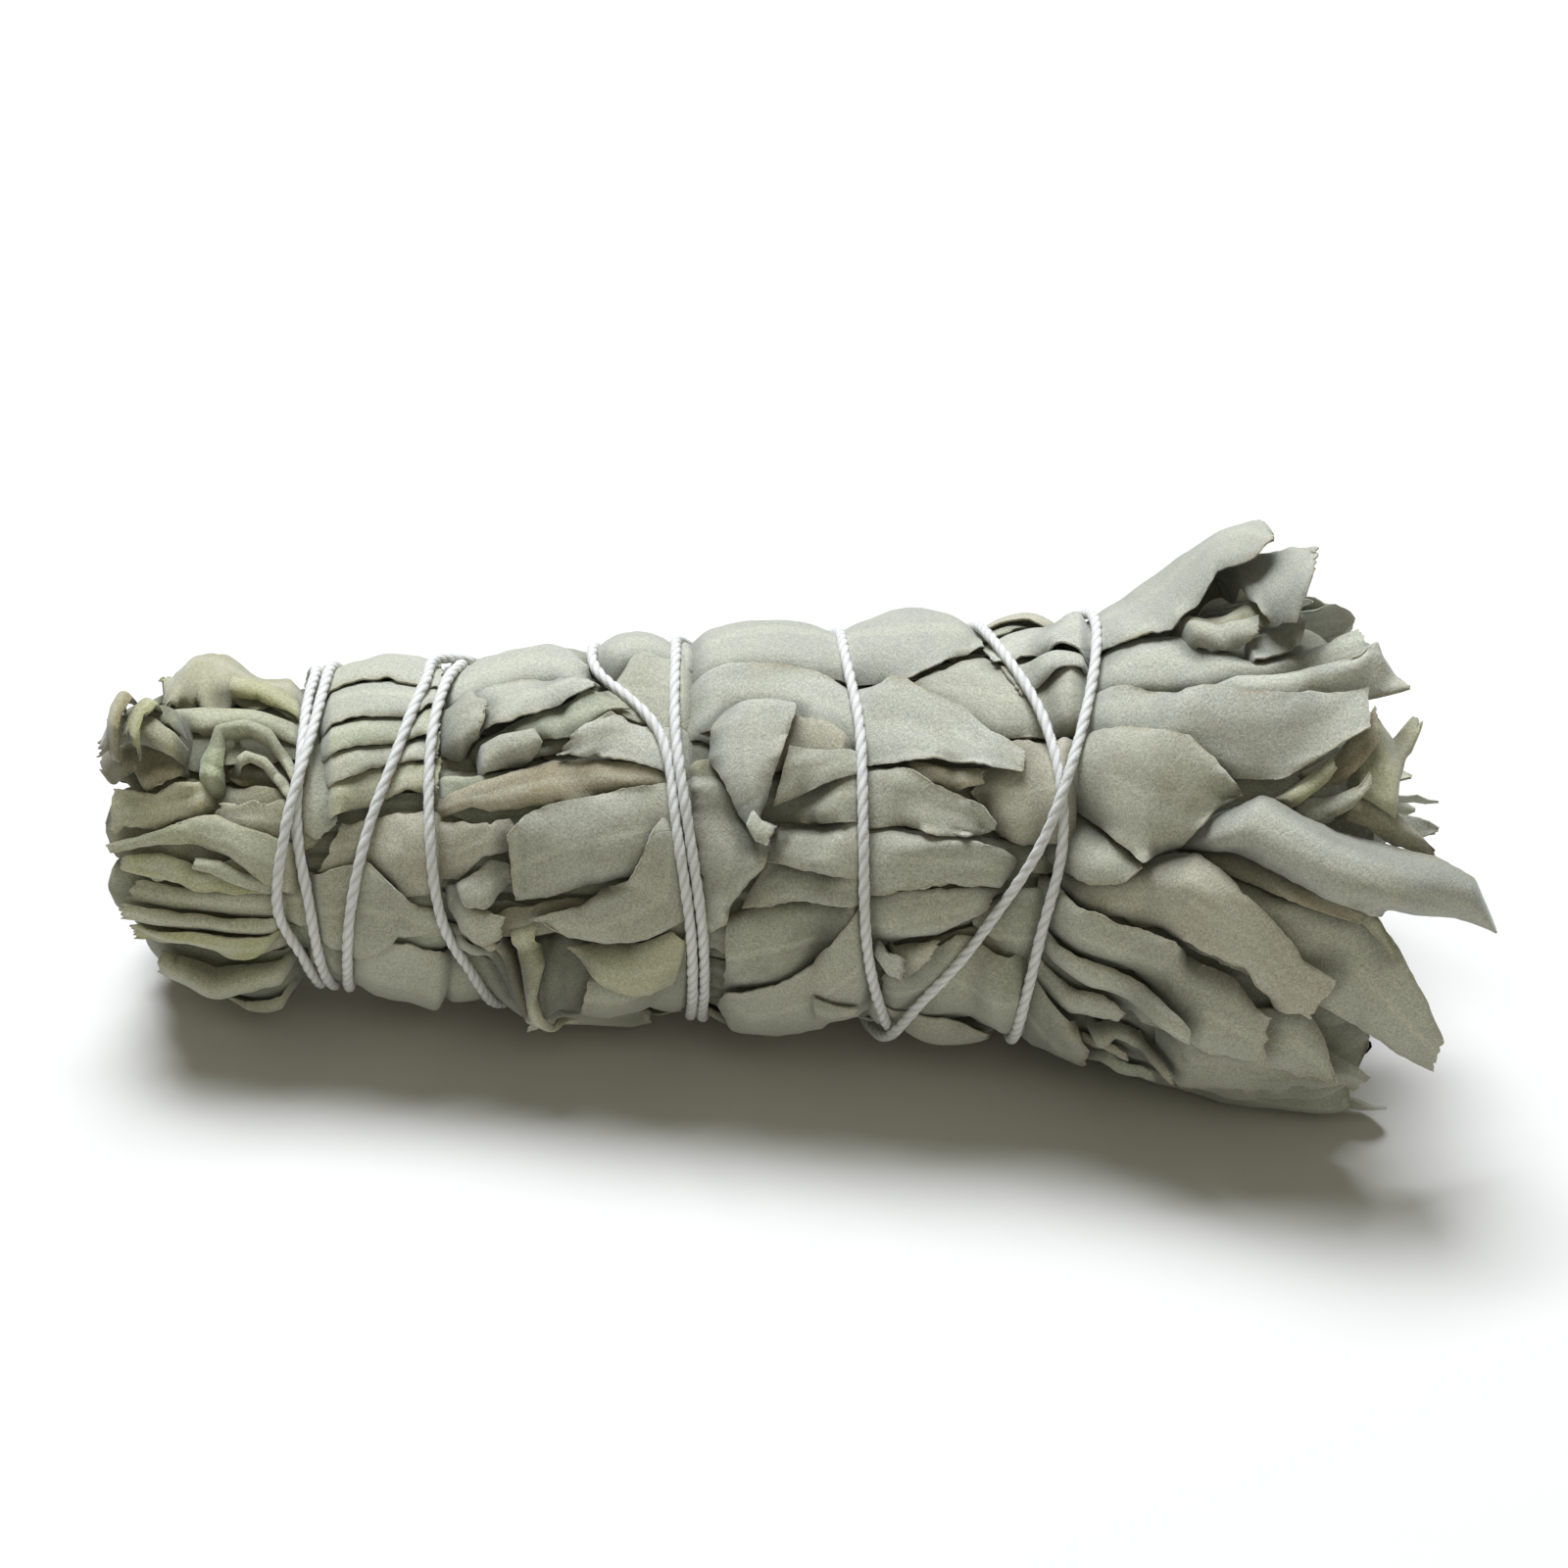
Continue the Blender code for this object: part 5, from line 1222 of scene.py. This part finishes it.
def shell_section(x, number, bundle):
    """Section of one outer sprig's pressed leaves and stems: a share of the ring round the middle sprig."""
    middle = SPRIG_TURN + number * SPRIG_ANGLE
    inner = heart_radius(x) + 0.2
    low = middle + np.linspace(-1, 1, SHELL_SIDES[0]) * (SPRIG_ANGLE / 2 - 0.15 / inner)
    high = middle + np.linspace(1, -1, SHELL_SIDES[1]) * (SPRIG_ANGLE / 2 - 0.1 / inner)
    ridges = 0.2 * np.sin(high * 46 + 0.5 * math.sin(x * 0.3)) + 0.12 * np.sin(high * 83 + 0.2 * x)
    outer = bundle.shell(x + 0 * high, high) - 0.3 + ridges
    return x, np.concatenate([low, high]), np.concatenate([np.full(len(low), inner), outer])


def drawn_tight(angle, held):
    """Radii of a taut string over what holds it out: straight between the places that it touches."""
    radius = held.copy()
    cos_step = np.cos((angle[2:] - angle[:-2]) / 2)
    for _ in range(TAUT_ROUNDS):
        straight = 2 * radius[2:] * radius[:-2] / (radius[2:] + radius[:-2]) * cos_step
        radius[1:-1] = np.maximum(radius[1:-1], straight)
    return radius


def over_earlier(x, angle, radius, apart):
    """Radius that each place needs to pass over the earlier strands that it crosses."""
    held = np.zeros(len(x))
    for i in range(apart, len(x)):
        turned = (angle[: i - apart] - angle[i] + math.pi) % (2 * math.pi) - math.pi
        near = np.hypot(x[: i - apart] - x[i], turned * radius[i]) < TWINE_DIAMETER * TOUCHING
        if near.any():
            held[i] = radius[: i - apart][near].max() + TWINE_DIAMETER * RISE_OVER
    return held


def twine_path(bundle):
    """Places along the twine as x, angle and radius after pressing, with its knot and tail."""
    angle, x = twine_route(TWINE_STEPS)
    half = TWINE_DIAMETER / 2
    offsets = np.linspace(-half, half, 5)
    top = bundle.under(x[:, None] + offsets, angle[:, None] + np.zeros(5)).max(axis=1)
    top = box_mean(top[:, None], 4, 0, "edge")[:, 0]
    held = bundle.tied(x, angle, top) + half - 0.1
    knotted = np.abs(angle - KNOT_ANGLE) < 1.8 * KNOT_SPREAD
    held[knotted] = held[knotted].max() + TWINE_DIAMETER
    taut = drawn_tight(angle, held)
    for _ in range(2):
        crossing = over_earlier(x, angle, taut, TWINE_STEPS // 2)
        taut = drawn_tight(angle, np.maximum(held, crossing))
    for _ in range(2):
        taut = box_mean(taut[:, None], 3, 0, "edge")[:, 0]
    coil_x, coil_angle, coil_radius = knot(x, angle, taut)
    tail_angle, tail_x = (np.array(row) for row in zip(*TAIL))
    tail_angle = np.radians(tail_angle)
    tail_radius = bundle.under(tail_x[:, None] + offsets, tail_angle[:, None] + offsets / 10).max(axis=1)
    tail_radius = bundle.tied(tail_x, tail_angle, tail_radius) + half
    return (
        np.concatenate([x, coil_x, tail_x]),
        np.concatenate([angle, coil_angle, tail_angle]),
        np.concatenate([taut, coil_radius, tail_radius]),
    )


def knot(x, angle, radius):
    """The last end's coil round the first end, as x, angle and radius."""
    turned = np.linspace(0, 2 * math.pi * KNOT_TURNS, 14 * KNOT_TURNS + 1)
    place = KNOT_ANGLE + KNOT_SPREAD * (1 - 2 * turned / turned[-1])
    first = slice(0, TWINE_STEPS)
    middle_x = np.interp(-place, -angle[first], x[first])
    middle_radius = np.interp(-place, -angle[first], radius[first])
    coil_x = middle_x - TWINE_DIAMETER * np.cos(turned)
    return coil_x, place, middle_radius + TWINE_DIAMETER * np.sin(turned)


def evenly(path, spacing):
    """The same path with points at an even spacing, on a smooth curve."""
    length = np.concatenate([[0], np.cumsum(np.linalg.norm(np.diff(path, axis=0), axis=1))])
    wanted = np.arange(0, length[-1], spacing)
    even = np.column_stack([np.interp(wanted, length, path[:, axis]) for axis in range(3)])
    for _ in range(2):
        even[1:-1] = (even[:-2] + 2 * even[1:-1] + even[2:]) / 4
    return even, wanted


def twine_part(bundle):
    """The twine as one lobed section that twists along its path, for its three plies."""
    path, along = evenly(to_world(*twine_path(bundle)) / MM, TWINE_SPACING)
    half = TWINE_DIAMETER / 2
    path[:, 2] = np.maximum(path[:, 2], half)
    tangent = unit(np.gradient(path, axis=0))
    axis = np.array([1.0, 0.0, AXIS_RISE])
    centre = np.array(AXIS_PLACE)
    outward = path - centre
    outward = outward - (outward @ unit(axis))[:, None] * unit(axis)
    outward = unit(outward - (outward * tangent).sum(1, keepdims=True) * tangent)
    beside = np.cross(tangent, outward)
    around = np.arange(TWINE_SIDES) / TWINE_SIDES * 2 * math.pi
    off_lobe = np.abs((around + PLY_ANGLE / 2) % PLY_ANGLE - PLY_ANGLE / 2)
    section = half * (1 - 0.16 * (off_lobe / (PLY_ANGLE / 2)) ** 2.5)
    twist = 2 * math.pi * along / TWINE_PITCH
    swell = 1 + 0.04 * np.sin(along * 1.7) + 0.03 * np.sin(along * 4.1 + 1)
    turn = around[None, :] + twist[:, None]
    ring = (section[None, :] * swell[:, None])[..., None]
    points = path[:, None, :] + ring * (
        np.cos(turn)[..., None] * outward[:, None, :] + np.sin(turn)[..., None] * beside[:, None, :]
    )
    points = points.reshape(-1, 3) * MM
    points[:, 2] = np.maximum(points[:, 2], 0.00001)
    faces = tube_faces(len(path), TWINE_SIDES)[:, [0, 3, 2, 1]]
    values = {
        "leaf_across": np.tile(around, len(path)),
        "leaf_along": np.repeat(along, TWINE_SIDES),
        # The section's radius, which the twine's material reads for its painted shade in the grooves between
        # plies
        "leaf_edge": np.tile(section, len(path)),
        "leaf_number": np.tile(section, len(path)),
        "painted_gap_shade": np.zeros(len(points)),
        "under_side": np.zeros(len(points)),
    }
    return points, faces, values, np.tile(TWINE_TONE, (len(points), 1))


class Shader:
    """Short calls for building a material's nodes."""

    def __init__(self, name):
        self.material = bpy.data.materials.new(name)
        self.material.use_nodes = True
        self.tree = self.material.node_tree
        self.surface = self.tree.nodes["Principled BSDF"]

    def node(self, kind, inputs=(), **settings):
        made = self.tree.nodes.new(kind)
        for key, value in settings.items():
            setattr(made, key, value)
        for key, value in dict(inputs).items():
            if isinstance(value, bpy.types.NodeSocket):
                self.tree.links.new(value, made.inputs[key])
            else:
                made.inputs[key].default_value = value
        return made

    def value(self, name):
        return self.node("ShaderNodeAttribute", attribute_name=name).outputs["Fac"]

    def colour(self, name):
        return self.node("ShaderNodeAttribute", attribute_name=name).outputs["Color"]

    def maths(self, operation, a, b=0.0, c=0.0):
        return self.node("ShaderNodeMath", {0: a, 1: b, 2: c}, operation=operation).outputs[0]

    def noise(self, scale, vector=None, detail=3.0, roughness=0.55):
        inputs = {"Scale": scale, "Detail": detail, "Roughness": roughness}
        if vector is not None:
            inputs["Vector"] = vector
        return self.node("ShaderNodeTexNoise", inputs).outputs["Fac"]

    def ranged(self, value, low, high, to_low=0.0, to_high=1.0):
        inputs = {0: value, 1: low, 2: high, 3: to_low, 4: to_high}
        return self.node("ShaderNodeMapRange", inputs, interpolation_type="SMOOTHSTEP").outputs[0]

    def mixed(self, share, first, second, blend="MIX"):
        mix = self.node("ShaderNodeMix", data_type="RGBA", blend_type=blend)
        for socket, value in ((0, share), (6, first), (7, second)):
            if isinstance(value, bpy.types.NodeSocket):
                self.tree.links.new(value, mix.inputs[socket])
            else:
                mix.inputs[socket].default_value = value
        return mix.outputs[2]

    def bump(self, height, strength, distance, after=None):
        inputs = {"Height": height, "Strength": strength, "Distance": distance}
        if after is not None:
            inputs["Normal"] = after
        return self.node("ShaderNodeBump", inputs).outputs["Normal"]


def sage_material():
    """Dried white sage: matt and velvety, with a rib, side veins, a pebbled skin, uneven colour and painted
    shade in the gaps between leaves.
    """
    make = Shader("dried_sage_leaf")
    place = make.node("ShaderNodeTexCoord").outputs["Object"]
    across, along = make.value("leaf_across"), make.value("leaf_along")
    edge, number = make.value("leaf_edge"), make.value("leaf_number")
    on_leaf = make.node("ShaderNodeCombineXYZ", {0: across, 1: along, 2: number}).outputs[0]
    broad = make.noise(120, place, 2.0)
    patches = make.noise(0.22, on_leaf, 2.0)
    fine = make.noise(3400, place, 3.0, 0.6)
    grain = make.noise(7000, place, 2.0, 0.6)

    ribs = make.ranged(make.maths("ABSOLUTE", across), 0.1, 0.45, 1.0, 0.0)
    slanted = make.maths("SUBTRACT", along, make.maths("MULTIPLY", make.maths("ABSOLUTE", across), 0.8))
    wavering = make.maths("ADD", slanted, make.maths("MULTIPLY", patches, 1.6))
    comb = make.maths("ABSOLUTE", make.maths("SINE", make.maths("MULTIPLY", wavering, 1.5)))
    veins = make.ranged(comb, 0.0, 0.16, 1.0, 0.0)

    colour = make.mixed(make.ranged(patches, 0.35, 0.7, 0.0, 0.5), make.colour("tone"), FADED)
    colour = make.mixed(make.ranged(broad, 0.5, 0.75, 0.0, 0.25), colour, STAINED)
    colour = make.mixed(make.maths("MULTIPLY", veins, 0.12), colour, VEINS)
    colour = make.mixed(make.maths("MULTIPLY", ribs, 0.3), colour, RIB)
    patchy = make.ranged(patches, 0.4, 0.65, 0.0, 0.5)
    dry = make.maths("MULTIPLY", make.ranged(edge, 0.0, 0.5, 1.0, 0.0), patchy)
    colour = make.mixed(dry, colour, DRY_EDGE)
    coarse = make.ranged(fine, 0.3, 0.7, 0.9, 1.06)
    speckle = make.maths("MULTIPLY", coarse, make.ranged(grain, 0.3, 0.7, 0.80, 1.18))
    grey = make.node("ShaderNodeCombineXYZ", {0: speckle, 1: speckle, 2: speckle}).outputs[0]
    colour = make.mixed(1.0, colour, grey, "MULTIPLY")
    under = make.maths("MULTIPLY", make.value("under_side"), 0.35)
    colour = make.mixed(under, colour, UNDER_SIDE)
    # Painted shade: the gaps between leaves are darkened, up to 0.62 of the way to a near-black
    colour = make.mixed(make.maths("MULTIPLY", make.value("painted_gap_shade"), 0.62), colour, GAP_SHADE_COLOUR)
    make.tree.links.new(colour, make.surface.inputs["Base Color"])

    normal = make.bump(veins, 0.2, 0.0001)
    normal = make.bump(fine, 0.45, 0.00009, normal)
    normal = make.bump(grain, 0.4, 0.00006, normal)
    make.tree.links.new(normal, make.surface.inputs["Normal"])
    make.tree.links.new(make.ranged(fine, 0.2, 0.8, 0.8, 0.98), make.surface.inputs["Roughness"])
    make.surface.inputs["Specular IOR Level"].default_value = 0.15
    make.surface.inputs["Sheen Weight"].default_value = 0.35
    make.surface.inputs["Sheen Roughness"].default_value = 0.5
    make.surface.inputs["Sheen Tint"].default_value = SHEEN
    return make.material


def cotton_material():
    """White cotton twine: fibres that run along each ply, and painted shade in the grooves between plies."""
    make = Shader("cotton_ply")
    around, along, groove_shade_mask = make.value("leaf_across"), make.value("leaf_along"), make.value("leaf_edge")
    fibres = make.node("ShaderNodeCombineXYZ", {0: make.maths("MULTIPLY", around, 3.5), 1: along}).outputs[0]
    strands = make.noise(2.2, fibres, 3.0, 0.6)
    soiled = make.noise(0.12, fibres, 2.0)
    # Painted shade: greyer where the section dips into the grooves between plies
    colour = make.mixed(make.ranged(groove_shade_mask, 0.37, 0.44, 0.7, 0.0), COTTON, PLY_GROOVE_SHADE)
    colour = make.mixed(make.ranged(soiled, 0.5, 0.75, 0.0, 0.35), colour, SOILED)
    colour = make.mixed(make.ranged(strands, 0.4, 0.8, 0.0, 0.35), colour, FIBRE)
    make.tree.links.new(colour, make.surface.inputs["Base Color"])
    make.tree.links.new(make.bump(strands, 0.5, 0.00012), make.surface.inputs["Normal"])
    make.tree.links.new(make.ranged(strands, 0.2, 0.8, 0.75, 0.95), make.surface.inputs["Roughness"])
    make.surface.inputs["Specular IOR Level"].default_value = 0.2
    make.surface.inputs["Sheen Weight"].default_value = 0.25
    return make.material


def floor_material():
    """A pale matt surface, slightly cloudy."""
    make = Shader("pale_floor")
    cloudy = make.noise(6.0, make.node("ShaderNodeTexCoord").outputs["Object"], 2.0)
    colour = make.mixed(cloudy, *FLOOR_TINTS)
    make.tree.links.new(colour, make.surface.inputs["Base Color"])
    make.surface.inputs["Roughness"].default_value = 0.9
    make.surface.inputs["Specular IOR Level"].default_value = 0.1
    return make.material


def add_sprig_bars(parts, bundle):
    """Adds to each sprig's parts its cut stems and its pressed stems and inner leaves, these last in the dark
    tone as painted shade under the loose leaves.
    """
    draw = random.Random(SPRIG_SEED)
    for angle in HEART_STEMS:
        end = STEM_END + draw.uniform(-STEM_UNEVEN, STEM_UNEVEN)
        parts["sprig_heart"].append(stem_part(end, angle, HEART_STEM_PLACE, bundle, draw))
    sections = [heart_section(x) for x in np.linspace(*HEART_ENDS, 40)]
    parts["sprig_heart"].append(bar_part(sections, bundle, "dark"))
    for number in range(SPRIGS):
        draw = random.Random(SPRIG_SEED + number)
        middle = SPRIG_TURN + number * SPRIG_ANGLE
        radius = (heart_radius(CUT_END) + float(bundle.shell(CUT_END, middle))) / 2
        end = STEM_END + draw.uniform(-STEM_UNEVEN, STEM_UNEVEN)
        sections = [shell_section(x, number, bundle) for x in np.linspace(*SHELL_ENDS, 90)]
        sprig = parts[f"sprig_{number + 1}"]
        sprig.append(stem_part(end, middle, radius, bundle, draw))
        sprig.append(bar_part(sections, bundle, "dark"))


def make_pieces():
    """Every node's piece, from all the leaves laid on the bundle."""
    distance = twine_distance()
    bundle, _ = lay_all(np.full((MAP_LENGTH, MAP_ROUND), FIRST_DEPTH), distance)
    bundle, grids = lay_all(bundle.needed_depth(), distance)
    bundle.pack()
    bundle.close()
    draw = random.Random(SPRIG_SEED + 50)
    parts = {}
    for grid in grids:
        parts.setdefault(grid["leaf"].node, []).append(leaf_part(grid, bundle, draw))
    add_sprig_bars(parts, bundle)
    sage = sage_material()
    for node, node_parts in parts.items():
        piece = mesh_piece("fine_" + node, node_parts, sage)
        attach(piece, "root")
        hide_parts(node)
    piece = mesh_piece("fine_twine", [twine_part(bundle)], cotton_material())
    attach(piece, "root")
    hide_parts("cotton_twine")


def make_floor():
    """The pale surface that the stick lies on."""
    bpy.ops.mesh.primitive_plane_add(size=FLOOR_SIZE)
    floor = bpy.context.object
    floor.name = "floor"
    floor.data.materials.append(floor_material())


def make_camera():
    """The photograph's view, from in front and above through a long lens."""
    camera = bpy.data.objects.new("camera", bpy.data.cameras.new("camera"))
    bpy.context.scene.collection.objects.link(camera)
    camera.data.lens = CAMERA_LENS
    camera.data.sensor_width = CAMERA_SENSOR
    camera.data.clip_start = 0.01
    distance = PICTURE_WIDTH * CAMERA_LENS / CAMERA_SENSOR
    back = Vector((0, -math.cos(CAMERA_HEIGHT), math.sin(CAMERA_HEIGHT)))
    level, rise = Vector((1, 0, 0)), Vector((0, math.sin(CAMERA_HEIGHT), math.cos(CAMERA_HEIGHT)))
    right = level * math.cos(CAMERA_ROLL) + rise * math.sin(CAMERA_ROLL)
    up = rise * math.cos(CAMERA_ROLL) - level * math.sin(CAMERA_ROLL)
    turned = Matrix((right, up, back)).transposed().to_4x4()
    place = (Vector(PICTURE_MIDDLE) + back * distance) * MM
    camera.matrix_world = Matrix.Translation(place) @ turned
    bpy.context.scene.camera = camera


def make_light(name, place, size, power, colour):
    """One square light that faces the stick."""
    light = bpy.data.objects.new(name, bpy.data.lights.new(name, "AREA"))
    light.data.size = size
    light.data.energy = power
    light.data.color = colour
    light.location = place
    light.rotation_euler = (-Vector(place)).to_track_quat("-Z", "Y").to_euler()
    bpy.context.scene.collection.objects.link(light)


def make_lights():
    """Soft light from above and behind, a weak one from in front, and pale surroundings."""
    make_light("key", *KEY_LIGHT)
    make_light("front", *FRONT_LIGHT)
    world = bpy.data.worlds.new("studio")
    world.use_nodes = True
    background = world.node_tree.nodes["Background"]
    background.inputs["Color"].default_value = SURROUNDINGS[0]
    background.inputs["Strength"].default_value = SURROUNDINGS[1]
    bpy.context.scene.world = world
    bpy.context.scene.view_settings.view_transform = "Standard"


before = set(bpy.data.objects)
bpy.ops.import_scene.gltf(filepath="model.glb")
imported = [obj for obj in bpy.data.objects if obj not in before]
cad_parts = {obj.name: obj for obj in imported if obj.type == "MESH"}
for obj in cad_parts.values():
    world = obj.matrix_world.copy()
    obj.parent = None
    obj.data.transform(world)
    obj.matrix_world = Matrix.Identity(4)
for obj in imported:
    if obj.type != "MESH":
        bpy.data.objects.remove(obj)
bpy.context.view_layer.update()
make_floor()
make_camera()
make_lights()
make_pieces()
